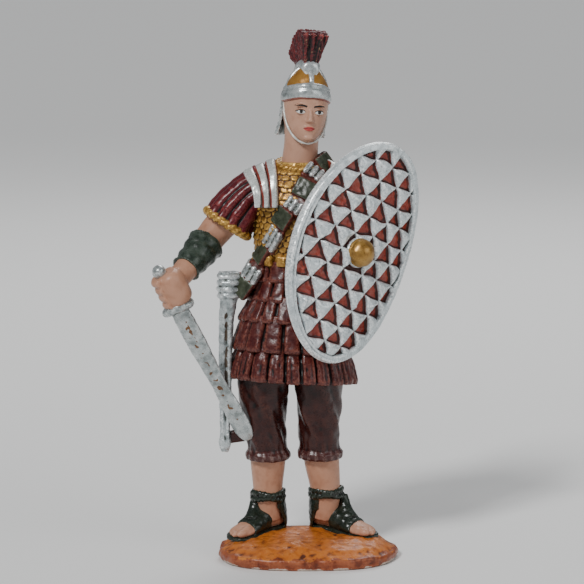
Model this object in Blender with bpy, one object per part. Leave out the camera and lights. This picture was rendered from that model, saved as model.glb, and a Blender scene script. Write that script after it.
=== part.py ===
"""Painted cast figurine of a Roman soldier on a small ground base, with his oval shield.

The soldier, his sword, his scabbard and the ground under his feet are one casting. The shield is a second
casting, glued by a flat pad to the one in his left hand. The origin is the middle of the base's underside,
+Z is up and the soldier faces -Y. Lengths of the figure are in hundredths of its height, above its soles.
"""

import math

import bmesh
import bpy
from mathutils import Matrix, Vector

MM = 0.001

# The figure, from its soles to the crown of the helmet under the crest
FIGURE_HEIGHT = 100 * MM
UNIT = FIGURE_HEIGHT / 100

# The ground base
BASE_LENGTH = 38.8 * MM
BASE_DEPTH = 28.4 * MM
BASE_EDGE_HEIGHT = 2.4 * MM
BASE_CROWN_HEIGHT = 5.0 * MM
SOLE_SINK = 0.4 * MM
GROUND = BASE_CROWN_HEIGHT - SOLE_SINK

# The shield
SHIELD_LENGTH = 47.6 * MM
SHIELD_WIDTH = 30.2 * MM
SHIELD_THICKNESS = 1.5 * MM
SHIELD_DOME = 3.2 * MM
SHIELD_RIM_WIDTH = 1.9 * MM
SHIELD_RIM_RISE = 0.35 * MM
SHIELD_BOSS_RADIUS = 3.05 * MM
SHIELD_YAW = math.radians(36)
SHIELD_LEAN = math.radians(24)
POCKET_PITCH = 4.75 * MM
POCKET_ROW_PITCH = 3.9 * MM
POCKET_SIDE = 3.5 * MM
POCKET_DEPTH = 0.5 * MM
POCKET_TURN = math.radians(4)
POCKET_START = Vector((2.4, 1.4)) * MM
POCKET_SMALLEST = 0.3

# The glued joint between the left hand and the shield
PAD_RADIUS = 2.6 * MM
PAD_THICKNESS = 0.8 * MM
GLUE_GAP = 0.3 * MM

# The sword
BLADE_LENGTH = 33.4 * MM
BLADE_WIDTH = 4.3 * MM
BLADE_THICKNESS = 1.7 * MM
GRIP_LENGTH = 7.8 * MM
GUARD_WIDTH = 7.6 * MM
GUARD_THICKNESS = 1.9 * MM
POMMEL_RADIUS = 1.5 * MM

# The skin of the soldier's casting
SKIN_GRAIN = 0.22 * MM
FACETS_KEPT = 0.0124
UNDERSIDE_SPARE = 0.6 * MM

SKIN = ("skin", (0.62, 0.36, 0.24), 0.5, 0.0)
MAROON = ("maroon_cloth", (0.16, 0.025, 0.03), 0.45, 0.0)
GOLD = ("gold_armour", (0.60, 0.38, 0.12), 0.4, 0.5)
SILVER = ("silver_metal", (0.62, 0.64, 0.60), 0.4, 0.5)
GREEN = ("green_leather", (0.03, 0.05, 0.035), 0.4, 0.0)
EARTH = ("ochre_earth", (0.50, 0.18, 0.05), 0.6, 0.0)
RED = ("red_field", (0.33, 0.05, 0.03), 0.45, 0.0)


def clear_scene():
    for item in list(bpy.data.objects):
        bpy.data.objects.remove(item)


def paint(kind):
    """The material of one painted colour, made once."""
    name, colour, roughness, metallic = kind
    made = bpy.data.materials.get(name)
    if made is None:
        made = bpy.data.materials.new(name)
        made.use_nodes = True
        shader = made.node_tree.nodes["Principled BSDF"]
        shader.inputs["Base Color"].default_value = (*colour, 1)
        shader.inputs["Roughness"].default_value = roughness
        shader.inputs["Metallic"].default_value = metallic
    return made


def at(x, y, z):
    """A point of the figure, given in hundredths of its height above the soles."""
    return Vector((x * UNIT, y * UNIT, GROUND + z * UNIT))


def smooth(values, t):
    """A smooth curve through evenly spaced values, read at t from 0 to the last one's number."""
    last = len(values) - 1
    i = min(int(t), last - 1)
    f = t - i
    a, b, c, d = (values[max(0, min(last, i + k))] for k in (-1, 0, 1, 2))
    return 0.5 * (2 * b + (c - a) * f + (2 * a - 5 * b + 4 * c - d) * f * f
                  + (3 * b - a - 3 * c + d) * f ** 3)


class Casting:
    """The closed forms that one casting is made of, gathered in one mesh."""

    def __init__(self, name):
        self.name = name
        self.mesh = bpy.data.meshes.new(name)
        self.forms = bmesh.new()

    def wrap(self, kind, surface, sides, rows):
        """A closed skin: a grid whose columns run round the form and whose rows run along it.

        surface takes the share of the way round, 0 to 1, and the share of the way along.
        """
        bm = bmesh.new()
        bmesh.ops.create_grid(bm, x_segments=sides, y_segments=rows, size=0.5)
        for vert in bm.verts:
            vert.co = surface(round(vert.co.x + 0.5, 5) % 1.0, vert.co.y + 0.5)
        bmesh.ops.remove_doubles(bm, verts=bm.verts, dist=0.005 * MM)
        open_edges = [edge for edge in bm.edges if edge.is_boundary]
        ends = bmesh.ops.holes_fill(bm, edges=open_edges, sides=0)["faces"]
        bmesh.ops.poke(bm, faces=ends)
        bmesh.ops.recalc_face_normals(bm, faces=bm.faces)
        self.gather(bm, kind)

    def ball(self, kind, centre, radii, turn=None, segments=10, rings=6):
        """An ellipsoid. turn is a rotation matrix."""
        bm = bmesh.new()
        bmesh.ops.create_uvsphere(bm, u_segments=segments, v_segments=rings, radius=1)
        shape = Matrix.Translation(centre) @ (turn or Matrix()) @ Matrix.Diagonal((*radii, 1))
        bm.transform(shape)
        self.gather(bm, kind)

    def gather(self, bm, kind):
        """Adds a form of one colour."""
        material = paint(kind)
        if material.name not in self.mesh.materials:
            self.mesh.materials.append(material)
        for face in bm.faces:
            face.material_index = self.mesh.materials.find(material.name)
        form = bpy.data.meshes.new("form")
        bm.to_mesh(form)
        bm.free()
        self.forms.from_mesh(form)
        bpy.data.meshes.remove(form)

    def place(self):
        """The object that holds the forms, in the scene."""
        self.forms.to_mesh(self.mesh)
        self.forms.free()
        made = bpy.data.objects.new(self.name, self.mesh)
        bpy.context.scene.collection.objects.link(made)
        return made


def helper_object(name, bm):
    """A form that only cuts another."""
    bmesh.ops.recalc_face_normals(bm, faces=bm.faces)
    mesh = bpy.data.meshes.new(name)
    bm.to_mesh(mesh)
    bm.free()
    made = bpy.data.objects.new(name, mesh)
    made.hide_render = True
    made.display_type = "WIRE"
    return made


def cut_away(made, label, helpers):
    """Takes the helpers' forms out of an object."""
    group = bpy.data.collections.new(label)
    bpy.context.scene.collection.children.link(group)
    for helper in helpers:
        group.objects.link(helper)
    modifier = made.modifiers.new(label, "BOOLEAN")
    modifier.operation = "DIFFERENCE"
    modifier.operand_type = "COLLECTION"
    modifier.collection = group
    modifier.solver = "EXACT"


def fuse(made):
    """Melts an object's overlapping forms into one skin, and thins its facets where it is plain."""
    skin = made.modifiers.new("one_skin", "REMESH")
    skin.mode = "VOXEL"
    skin.voxel_size = SKIN_GRAIN
    thinner = made.modifiers.new("fewer_facets", "DECIMATE")
    thinner.ratio = FACETS_KEPT


def stack(stations, tilt=(0.0, 0.0), power=2.0, flute=None):
    """A surface of level rings. Each station is x, y, z, half width and half depth.

    tilt is how far a ring drops for each step in x and y from its middle. flute is a factor on the radius,
    from the share of the way round and the share of the way along.
    """
    stations = [Vector(s) for s in stations]

    def surface(u, w):
        x, y, z, rx, ry = smooth(stations, w * (len(stations) - 1))
        angle = 2 * math.pi * u
        c, s = math.cos(angle), math.sin(angle)
        factor = flute(u, w) if flute else 1.0
        dx = rx * factor * math.copysign(abs(c) ** (2 / power), c)
        dy = ry * factor * math.copysign(abs(s) ** (2 / power), s)
        return at(x + dx, y + dy, z - tilt[0] * dx - tilt[1] * dy)

    return surface


def limb(stations, flute=None, side=Vector((0.3, 1, 0.1)), flatness=1.0):
    """A surface of rings square to their path. Each station is x, y, z and radius."""
    points = [at(*s[:3]) for s in stations]
    radii = [s[3] * UNIT for s in stations]
    last = len(stations) - 1

    def surface(u, w):
        t = w * last
        step = 0.02
        ahead = smooth(points, min(t + step, last))
        behind = smooth(points, max(t - step, 0))
        normal = (ahead - behind).normalized()
        across = (side - normal * side.dot(normal)).normalized()
        other = normal.cross(across)
        radius = smooth(radii, t) * (flute(u, w) if flute else 1.0)
        angle = 2 * math.pi * u
        offset = across * math.cos(angle) + other * math.sin(angle) * flatness
        return smooth(points, t) + offset * radius

    return surface


def add_box(casting, kind, centre, right, up, half, taper=0.86):
    """A block whose outer face is a little smaller. half is its half sizes to the right, up and outwards."""
    right = right.normalized()
    up = (up - right * up.dot(right)).normalized()
    out = right.cross(up)
    bm = bmesh.new()
    bmesh.ops.create_cube(bm, size=2)
    for vert in bm.verts:
        size = taper if vert.co.z > 0 else 1.0
        vert.co = (centre + right * half[0] * size * vert.co.x + up * half[1] * size * vert.co.y
                   + out * half[2] * vert.co.z)
    bmesh.ops.recalc_face_normals(bm, faces=bm.faces)
    casting.gather(bm, kind)


# Ground base
BASE_RINGS = ((0.95, 0.0), (1.0, 0.35), (0.985, 0.85), (0.94, 1.0))
BASE_DOME_STEPS = (0.8, 0.6, 0.35, 0.1)
BASE_SIDES = 56
BASE_SQUARENESS = 0.05


def base_outline(angle):
    """How far the uneven edge of the base stands out from a true oval."""
    strength = 1.35 if math.sin(2 * angle) < 0 else 0.9
    corners = BASE_SQUARENESS * (math.sin(2 * angle) ** 2 - 0.3) * strength
    return 1 + corners + 0.012 * math.sin(3 * angle + 2.0) + 0.008 * math.sin(5 * angle + 0.5)


def base_top(share):
    """Height of the base's top at a share of the way from the middle to its edge."""
    return BASE_CROWN_HEIGHT - (BASE_CROWN_HEIGHT - BASE_EDGE_HEIGHT) * share ** 4


def add_base(casting):
    rings = [(BASE_RINGS[0][0], -UNDERSIDE_SPARE)]
    rings += [(r, h * BASE_EDGE_HEIGHT) for r, h in BASE_RINGS]
    rings += [(r, base_top(r)) for r in BASE_DOME_STEPS]

    def surface(u, w):
        share, height = rings[round(w * (len(rings) - 1))]
        angle = 2 * math.pi * u
        reach = share * base_outline(angle)
        return Vector((BASE_LENGTH / 2 * reach * math.cos(angle), BASE_DEPTH / 2 * reach * math.sin(angle),
                       height))

    casting.wrap(EARTH, surface, BASE_SIDES, len(rings) - 1)


# Feet, sandals and calves. A foot's own frame has its heel at the origin and its toes ahead.
FOOT_SLOPE = 0.10
FEET = {
    "right": {"heel": (-6.6, 6.6), "toe": (-15.6, -2.0), "ankle": (-8.3, 4.6, 7.9)},
    "left": {"heel": (3.0, 6.9), "toe": (14.0, -0.9), "ankle": (4.15, 4.7, 8.5)},
}
CALVES = {
    "right": ((-8.1, 5.0, 2.4, 2.5), (-8.3, 4.7, 6.5, 2.9), (-8.35, 4.2, 11.0, 3.3), (-8.3, 3.4, 15.5, 3.75),
              (-8.3, 2.7, 20.0, 3.9)),
    "left": ((3.9, 5.1, 2.6, 2.5), (4.15, 4.7, 7.0, 3.0), (3.8, 4.2, 11.0, 3.35), (3.2, 3.4, 15.5, 3.75),
             (2.85, 2.7, 20.0, 3.9)),
}
# Along the foot: share of its length, half width, height of its middle and half height
FOOT_STATIONS = ((-0.10, 1.3, 1.3, 0.9), (0.0, 1.9, 2.0, 1.8), (0.22, 2.0, 2.6, 2.4), (0.45, 2.2, 2.1, 2.0),
                 (0.70, 2.7, 1.4, 1.3), (0.88, 2.6, 1.1, 0.85), (0.97, 1.9, 0.95, 0.5))
SOLE_STATIONS = ((-0.17, 0.9), (-0.08, 2.0), (0.3, 2.3), (0.70, 3.15), (0.92, 3.0), (1.03, 1.7))
SOLE_THICKNESS = 1.0
VAMP_STATIONS = ((0.20, 2.35, 2.7, 2.7), (0.42, 2.55, 2.2, 2.35), (0.60, 2.85, 1.75, 1.85),
                 (0.72, 3.0, 1.45, 1.5))
TOES = ((-1.75, 0.91, 1.0), (-0.55, 0.98, 0.72), (0.35, 0.96, 0.68), (1.2, 0.91, 0.62), (1.95, 0.83, 0.58))


def foot_frame(foot):
    """Functions that turn a place on a foot, from ahead, aside and above its sole, into a point."""
    heel = Vector(foot["heel"])
    ahead = Vector(foot["toe"]) - heel
    length = ahead.length
    ahead.normalize()
    aside = Vector((ahead.y, -ahead.x))

    def place(share, side, height):
        spot = heel + ahead * share * length + aside * side
        return at(spot.x, spot.y, height + FOOT_SLOPE * (spot.y - 2.5))

    return place


def add_foot(casting, foot, inner):
    """One sandalled foot. inner is 1 where the big toe lies on the aside side, else -1."""
    place = foot_frame(foot)

    def sole(u, w):
        share, half = smooth([Vector(s) for s in SOLE_STATIONS], w * (len(SOLE_STATIONS) - 1))
        corner = 2 * math.pi * (u + 1 / 8)
        side = math.copysign(1, math.cos(corner))
        up = math.copysign(1, math.sin(corner))
        return place(share, half * side, SOLE_THICKNESS * (0.5 * up + 0.1))

    def upper(stations, low=-1.0):
        rows = [Vector(s) for s in stations]

        def surface(u, w):
            share, half, middle, rise = smooth(rows, w * (len(rows) - 1))
            angle = 2 * math.pi * u
            up = max(math.sin(angle), low)
            return place(share, half * math.cos(angle), middle + rise * up)

        return surface

    casting.wrap(GREEN, sole, 4, 15)
    casting.wrap(SKIN, upper(FOOT_STATIONS), 16, 18)
    casting.wrap(GREEN, upper(VAMP_STATIONS), 16, 9)
    for side, share, size in TOES:
        centre = place(share, -side * inner, 0.55 + size * 0.75)
        turn = Matrix.Rotation(math.atan2(foot["toe"][1] - foot["heel"][1],
                                          foot["toe"][0] - foot["heel"][0]), 4, "Z")
        casting.ball(SKIN, centre, (size * 1.5 * UNIT, size * 0.85 * UNIT, size * 0.85 * UNIT), turn, 10, 6)
    x, y, z = foot["ankle"]
    ankle = ((x, y, z - 0.85, 3.25, 3.35), (x, y, z - 0.6, 3.6, 3.7), (x, y, z + 0.6, 3.6, 3.7),
             (x, y, z + 0.85, 3.25, 3.35))
    casting.wrap(GREEN, stack(ankle), 20, 3)


def add_legs(casting):
    for name, inner in (("right", -1), ("left", 1)):
        add_foot(casting, FEET[name], inner)
        casting.wrap(SKIN, limb(CALVES[name]), 20, 12)


# Trousers that end in a rolled hem below the knee
TROUSERS = {
    "right": ((-8.3, 2.7, 16.0, 3.9, 4.1), (-8.3, 2.7, 16.2, 4.6, 4.8), (-8.3, 2.7, 17.2, 4.75, 5.0),
              (-8.4, 2.6, 18.6, 4.2, 4.4), (-8.9, 2.5, 22.5, 4.3, 4.6), (-9.2, 2.4, 26.5, 4.75, 5.1),
              (-9.2, 2.5, 31.0, 5.3, 5.7), (-8.6, 2.6, 36.0, 5.4, 6.2)),
    "left": ((2.85, 2.7, 16.2, 3.9, 4.1), (2.85, 2.7, 16.4, 4.6, 4.8), (2.85, 2.7, 17.5, 4.85, 5.1),
             (2.8, 2.6, 18.9, 4.3, 4.5), (2.65, 2.5, 23.0, 4.35, 4.7), (2.55, 2.4, 26.5, 4.55, 5.1),
             (2.3, 2.5, 31.0, 4.95, 5.6), (2.2, 2.6, 36.0, 5.3, 6.2)),
}


def add_trousers(casting):
    for stations in TROUSERS.values():
        casting.wrap(MAROON, stack(stations), 24, 21)


# Skirt of five tiers of straps. Each tier is top, bottom, half width and half depth at its top, and below.
SKIRT_X, SKIRT_Y = -3.0, 3.0
SKIRT_TILT = (0.05, 0.09)
SKIRT_TIERS = ((58.3, 54.0, 7.2, 5.5, 8.3, 6.8), (55.0, 49.9, 7.3, 5.8, 9.7, 8.0),
               (51.0, 45.6, 8.6, 7.0, 11.7, 9.4), (47.0, 39.3, 10.4, 8.2, 13.1, 10.5),
               (41.5, 33.0, 11.6, 9.0, 13.8, 11.2))
TIER_STRAP_COUNTS = [12, 16, 18, 20, 22]
STRAP_GROOVE_SHARE = 0.12
STRAP_GROOVE_DEPTH = 0.6


def add_skirt(casting):
    for (top, bottom, rx0, ry0, rx1, ry1), straps in zip(SKIRT_TIERS, TIER_STRAP_COUNTS):
        rings = [Vector((SKIRT_X, SKIRT_Y, bottom, rx1, ry1)), Vector((SKIRT_X, SKIRT_Y, top, rx0, ry0))]

        def surface(u, w, rings=rings, straps=straps):
            x, y, z, rx, ry = rings[round(w)]
            step, part = divmod(round(u * straps * 3) % (straps * 3), 3)
            edge = (0.0, STRAP_GROOVE_SHARE, 1 - STRAP_GROOVE_SHARE)[part]
            angle = 2 * math.pi * (step + edge) / straps
            sunk = STRAP_GROOVE_DEPTH if part == 0 and w < 0.5 else 0.0
            dx, dy = (rx - sunk) * math.cos(angle), (ry - sunk) * math.sin(angle)
            return at(x + dx, y + dy, z - SKIRT_TILT[0] * dx - SKIRT_TILT[1] * dy)

        casting.wrap(MAROON, surface, straps * 3, 1)


# Cuirass of scales, with a belt of plates below it
TORSO = ((-3.0, 3.0, 55.0, 6.9, 5.4), (-2.8, 3.0, 58.4, 7.4, 5.5), (-2.5, 3.0, 61.5, 8.3, 6.0),
         (-2.2, 3.0, 65.0, 8.9, 6.5), (-2.0, 3.1, 68.5, 9.2, 6.8), (-1.9, 3.2, 72.0, 9.8, 6.6),
         (-1.8, 3.3, 75.5, 9.6, 5.7), (-1.7, 3.4, 78.2, 6.9, 4.7), (-1.6, 3.4, 79.6, 4.4, 4.0))
SCALE_ROWS = 14
SCALE_FIRST = 60.8
SCALE_LAST = 77.6
SCALE_STEP = 0.45
BELT_LOW, BELT_HIGH = 57.9, 60.5
BELT_PLATES = 12


def torso_at(z):
    """x, y, half width and half depth of the torso at a height, read from its stations."""
    rows = [Vector(s) for s in TORSO]
    for i, (low, high) in enumerate(zip(TORSO, TORSO[1:])):
        if z <= high[2] or high is TORSO[-1]:
            x, y, _, rx, ry = smooth(rows, i + (z - low[2]) / (high[2] - low[2]))
            return x, y, rx, ry
    return None


def torso_point(angle, z, rise=0.0):
    """A point on the torso's front half or back half, at an angle from +X, rise above its skin."""
    x, y, rx, ry = torso_at(z)
    return Vector((x + (rx + rise) * math.cos(angle), y + (ry + rise) * math.sin(angle), z))


def add_torso(casting):
    pitch = (SCALE_LAST - SCALE_FIRST) / SCALE_ROWS
    heights = [(TORSO[0][2], 0.0), (SCALE_FIRST - 0.3, 0.0)]
    for row in range(SCALE_ROWS):
        z = SCALE_FIRST + row * pitch
        heights += [(z, SCALE_STEP), (z + pitch * 0.92, 0.05)]
    heights += [(SCALE_LAST + 0.4, 0.0), (79.6, 0.0)]

    def surface(u, w):
        z, rise = heights[round(w * (len(heights) - 1))]
        return at(*torso_point(2 * math.pi * u, z, rise))

    casting.wrap(GOLD, surface, 32, len(heights) - 1)
    for plate in range(BELT_PLATES):
        angle = 2 * math.pi * (plate + 0.5) / BELT_PLATES
        low, high = (torso_point(angle, z, 0.35) for z in (BELT_LOW, BELT_HIGH))
        right = Vector((-math.sin(angle) * 8.2, math.cos(angle) * 6.2, 0))
        half = (right.length * math.pi / BELT_PLATES * 0.88 * UNIT, (BELT_HIGH - BELT_LOW) / 2 * UNIT,
                0.7 * UNIT)
        add_box(casting, GOLD, at(*((low + high) / 2)), right, high - low, half)
    collar = ((-1.6, 3.2, 78.4, 4.9, 4.9), (-1.6, 3.2, 79.0, 5.2, 5.2), (-1.6, 3.2, 79.7, 4.7, 4.7),
              (-1.6, 3.3, 79.9, 4.0, 4.0))
    casting.wrap(GOLD, stack(collar, tilt=(0.0, -0.18)), 24, 6)


# Shoulder guards: three bands side by side, bent from the chest over the shoulder to the back
GUARD_STEPS = 16
GUARD_SPAN = (-13.4, -6.6)
GUARD_SPRING = 70.6
GUARD_CROWNS = (77.0, 79.9)
# Across a guard: share of its width and how far it stands out. The two grooves part the bands.
GUARD_PROFILE = ((0.0, -0.9), (0.0, 0.35), (0.29, 0.55), (0.335, 0.0), (0.38, 0.6), (0.62, 0.6), (0.665, 0.0),
                 (0.71, 0.55), (1.0, 0.35), (1.0, -0.9))


def add_shoulder_guards(casting):
    middle = -1.7
    for mirror in (1, -1):
        def surface(u, w, mirror=mirror):
            share, rise = GUARD_PROFILE[round(u * len(GUARD_PROFILE)) % len(GUARD_PROFILE)]
            angle = math.pi * w
            c, s = math.cos(angle), math.sin(angle)
            x = GUARD_SPAN[0] + (GUARD_SPAN[1] - GUARD_SPAN[0]) * share
            x += (2.4 - 1.8 * share) * c * c - 0.35 * rise
            crown = GUARD_CROWNS[0] + (GUARD_CROWNS[1] - GUARD_CROWNS[0]) * share
            return at(middle + mirror * (x - middle), 3.2 - (7.0 + rise) * c,
                      GUARD_SPRING + (crown - GUARD_SPRING) * s ** 0.8 + rise * s)

        casting.wrap(SILVER, surface, len(GUARD_PROFILE), GUARD_STEPS)


# Sleeves with broad folds and a gold rolled hem, then arms, bracers and hands
SLEEVES = {
    "right": ((-8.6, 3.1, 75.4, 4.2), (-12.0, 3.1, 72.8, 4.5), (-14.8, 2.9, 69.6, 5.15),
              (-16.7, 2.7, 66.7, 5.4)),
    "left": ((5.2, 3.4, 75.6, 4.3), (8.4, 3.7, 73.3, 4.8), (10.6, 4.2, 69.9, 5.2), (11.9, 4.6, 66.9, 5.2)),
}
SLEEVE_FOLDS = 8
SLEEVE_FOLD_DEPTH = 0.07
HEM_HALF = 0.95
ARMS = {
    "right": ((-15.6, 2.7, 68.6, 3.4), (-18.6, 3.2, 65.7, 3.4), (-21.0, 2.6, 62.8, 3.2),
              (-22.8, -0.3, 60.6, 3.0), (-24.7, -3.2, 58.3, 2.6), (-27.6, -7.2, 55.4, 2.4)),
    "left": ((10.9, 4.4, 68.6, 3.3), (12.6, 5.2, 65.0, 3.3), (13.4, 5.4, 61.8, 3.2), (12.5, 2.6, 61.0, 3.0),
             (11.2, -0.6, 61.1, 2.6), (10.0, -3.4, 61.3, 2.3)),
}
BRACERS = {
    "right": ((-21.3, 1.9, 62.3, 3.75), (-22.3, 0.4, 61.1, 3.6), (-23.9, -1.9, 59.3, 3.2),
              (-25.3, -3.8, 57.8, 2.8)),
    "left": ((13.1, 4.4, 61.4, 3.7), (12.6, 2.9, 61.1, 3.55), (11.6, 0.2, 61.0, 3.1),
             (10.7, -1.8, 61.2, 2.75)),
}


def add_arms(casting):
    for name in ("right", "left"):
        def folds(u, w):
            return 1 + SLEEVE_FOLD_DEPTH * math.cos(2 * math.pi * SLEEVE_FOLDS * u) * min(1.0, 0.3 + w)

        sleeve = SLEEVES[name]
        casting.wrap(MAROON, limb(sleeve, folds), SLEEVE_FOLDS * 6, 9)
        end = Vector(sleeve[-1][:3])
        run = (end - Vector(sleeve[-2][:3])).normalized()
        radius = sleeve[-1][3]
        hem = [(*(end + run * step), radius + grow) for step, grow in
               ((-HEM_HALF, -0.3), (-0.5, 0.35), (0.5, 0.35), (HEM_HALF, -0.5))]
        casting.wrap(GOLD, limb(hem), 28, 6)
        casting.wrap(SKIN, limb(ARMS[name]), 20, 15)
        casting.wrap(GREEN, limb(BRACERS[name]), 20, 9)


# Sword, from the pommel above the right fist to the tip against the right leg
GUARD_PLACE = Vector((-26.9, -7.3, 50.2))
SWORD_RUN = Vector((0.437, 0.190, -0.879)).normalized()
SWORD_FACE = Vector((-0.25, -0.95, 0.0))
# Along the blade: share of its length and share of its width
BLADE_OUTLINE = ((0.0, 0.93), (0.25, 1.0), (0.58, 0.78), (0.82, 0.96), (0.94, 0.86), (1.0, 0.4))


def sword_axes():
    across = SWORD_RUN.cross(SWORD_FACE).normalized()
    return across, across.cross(SWORD_RUN).normalized()


def add_sword(casting):
    guard = at(*GUARD_PLACE)
    across, face = sword_axes()

    def blade(u, w):
        share, width = smooth([Vector(s) for s in BLADE_OUTLINE], w * (len(BLADE_OUTLINE) - 1))
        angle = 2 * math.pi * u
        reach = BLADE_WIDTH / 2 * width * math.cos(angle)
        thick = BLADE_THICKNESS / 2 * min(1.0, width + 0.1) * math.sin(angle)
        return guard + SWORD_RUN * BLADE_LENGTH * share + across * reach + face * thick

    casting.wrap(SILVER, blade, 8, len(BLADE_OUTLINE) - 1)

    def bar(u, w):
        row = round(w * 3)
        size = (0.8, 1.0, 1.0, 0.75)[row]
        drop = (-0.5, -0.3, 0.3, 0.5)[row]
        angle = 2 * math.pi * u
        return (guard + SWORD_RUN * GUARD_THICKNESS * drop + across * GUARD_WIDTH / 2 * size * math.cos(angle)
                + face * GUARD_WIDTH * 0.34 * size * math.sin(angle))

    casting.wrap(SILVER, bar, 20, 3)
    grip = ((0.0, 1.2), (0.5, 1.3), (1.0, 1.1))

    def handle(u, w):
        share, radius = grip[round(w * 2)]
        angle = 2 * math.pi * u
        return (guard - SWORD_RUN * GRIP_LENGTH * share
                + (across * math.cos(angle) + face * math.sin(angle)) * radius * UNIT)

    casting.wrap(SILVER, handle, 12, 2)
    casting.ball(SILVER, guard - SWORD_RUN * (GRIP_LENGTH + POMMEL_RADIUS * 0.5),
                 (POMMEL_RADIUS, POMMEL_RADIUS, POMMEL_RADIUS), None, 14, 8)


# Hands. A fist is a rounded block round its grip, with four fingers and a thumb.
FIST_ROWS = ((-1.0, 0.62), (-0.7, 0.98), (0.0, 1.06), (0.75, 0.98), (1.0, 0.66))
FINGER_TURNS = (-35, 20, 75, 135)
LEFT_FIST_BACK = 3.4


def add_fist(casting, centre, grip, knuckles, size, curl):
    """grip is the way the held thing runs, knuckles the way the first finger joints face.

    curl is 1 or -1: the side on which the fingers close.
    """
    grip = grip.normalized()
    knuckles = (knuckles - grip * knuckles.dot(grip)).normalized()
    side = grip.cross(knuckles) * curl

    def palm(u, w):
        share, swell = FIST_ROWS[round(w * (len(FIST_ROWS) - 1))]
        angle = 2 * math.pi * u
        ring = (knuckles * math.cos(angle) + side * math.sin(angle)) * 3.0 * swell
        spot = grip * share * 3.7 + ring
        return at(*centre) + spot * size * UNIT

    casting.wrap(SKIN, palm, 20, len(FIST_ROWS) - 1)
    for finger in range(4):
        along = -2.7 + finger * 1.75
        path = []
        for turn in FINGER_TURNS:
            angle = math.radians(turn)
            spot = grip * along + knuckles * 2.85 * math.cos(angle) + side * 2.8 * math.sin(angle)
            path.append((*(Vector(centre) + spot * size), 0.92 * size))
        casting.wrap(SKIN, limb(path, side=grip), 10, 9)
    thumb = [(*(Vector(centre) + (grip * a + knuckles * k + side * s) * size), r * size)
             for a, k, s, r in ((-0.5, -2.4, 0.6, 1.2), (2.0, -2.0, 1.9, 1.15), (3.4, -0.4, 2.8, 0.9))]
    casting.wrap(SKIN, limb(thumb, side=grip), 10, 6)


def add_hands(casting):
    right = GUARD_PLACE - SWORD_RUN * 4.6 + Vector((1.2, 0.2, 0.1))
    add_fist(casting, right, SWORD_RUN, Vector((-0.85, -0.35, 0.1)), 1.0, 1)
    centre, out = shield_frame()
    inner = (centre + out * (SHIELD_DOME - SHIELD_THICKNESS - PAD_THICKNESS - GLUE_GAP))
    hand = inner - out * LEFT_FIST_BACK * UNIT
    hand = Vector((hand.x / UNIT, hand.y / UNIT, (hand.z - GROUND) / UNIT))
    add_fist(casting, hand, Vector((0.3, 0.2, 1)), out, 0.82, 1)

    def pad(u, w):
        angle = 2 * math.pi * u
        right_way, up = shield_axes()[:2]
        return (inner - out * LEFT_FIST_BACK * UNIT * (1 - w)
                + (right_way * math.cos(angle) + up * math.sin(angle)) * PAD_RADIUS)

    casting.wrap(SKIN, pad, 14, 1)


# Scabbard at the right hip, joined to the leg by a web near its tip
SCABBARD = ((-16.4, 0.2, 56.6, 2.2, 1.6), (-16.5, 0.1, 51.0, 1.9, 1.5), (-17.0, -0.1, 46.0, 1.6, 1.35),
            (-17.2, -0.2, 38.0, 1.45, 1.2), (-17.3, -0.3, 28.0, 1.25, 1.05), (-17.35, -0.4, 22.5, 1.05, 0.95),
            (-17.4, -0.4, 20.2, 1.35, 1.15), (-17.4, -0.4, 18.1, 0.7, 0.6))
SCABBARD_RINGS = 4
SCABBARD_RING_TOP, SCABBARD_RING_PITCH = 55.7, 1.36


def add_scabbard(casting):
    casting.wrap(SILVER, stack(SCABBARD), 16, 21)
    for ring in range(SCABBARD_RINGS):
        z = SCABBARD_RING_TOP - ring * SCABBARD_RING_PITCH
        grow = 0.12 * math.sin(math.pi * (ring + 0.7) / SCABBARD_RINGS)
        band = ((-16.4, 0.1, z - 0.62, 2.1, 1.6), (-16.4, 0.1, z - 0.35, 2.5 + grow, 1.9 + grow),
                (-16.4, 0.1, z + 0.35, 2.5 + grow, 1.9 + grow), (-16.4, 0.1, z + 0.62, 2.1, 1.6))
        casting.wrap(SILVER, stack(band), 18, 3)
    add_box(casting, MAROON, at(-14.3, 0.6, 21.4), Vector((1, 0, 0.15)), Vector((0, 0, 1)),
            (3.4 * UNIT, 1.5 * UNIT, 0.7 * UNIT))


# Baldric: square plates by turns with plates of three bars, from the left shoulder to the scabbard
BALDRIC_CHEST = ((3.4, 78.9), (1.3, 77.6), (-0.6, 74.2), (-2.7, 70.8), (-4.9, 68.2), (-7.0, 63.8),
                 (-9.2, 60.3))
# From the waist the strap hangs clear of the body: place and facing of its last plates
BALDRIC_HIP = (((-11.5, -0.9, 56.2), (-0.55, -1.0, 0.25)), ((-13.4, -0.5, 53.4), (-0.5, -1.0, 0.3)))
STRAP_HIP = ((-7.0, 1.6, 61.5, 2.0), (-9.6, 1.0, 58.6, 2.1), (-12.0, 0.6, 55.6, 2.0), (-15.2, 0.6, 52.2, 1.7))
BALDRIC_WIDTH = 4.4
BALDRIC_RISE = 0.8
BAR_COUNT = 3


def baldric_spot(x, z, back=False):
    """The torso's skin at x and z on the front, or on the back, and the way it faces."""
    cx, cy, rx, ry = torso_at(min(z, 79.0))
    share = max(-0.97, min(0.97, (x - cx) / rx))
    depth = ry * math.sqrt(1 - share * share)
    sign = 1 if back else -1
    spot = Vector((x, cy + sign * depth, z))
    facing = Vector((share / rx, sign * depth / ry / ry, 0.12)).normalized()
    return spot, facing


def baldric_plates(back):
    """Place and facing of each plate, from the shoulder down one side of the body."""
    plates = [baldric_spot(x, z, back) for x, z in BALDRIC_CHEST]
    for spot, facing in BALDRIC_HIP:
        mirror = Vector((1, -1 if back else 1, 1))
        middle = Vector((0, 1.6 if back else 0, 0))
        plates.append((Vector(spot) * mirror + middle, (Vector(facing) * mirror).normalized()))
    return plates


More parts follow.
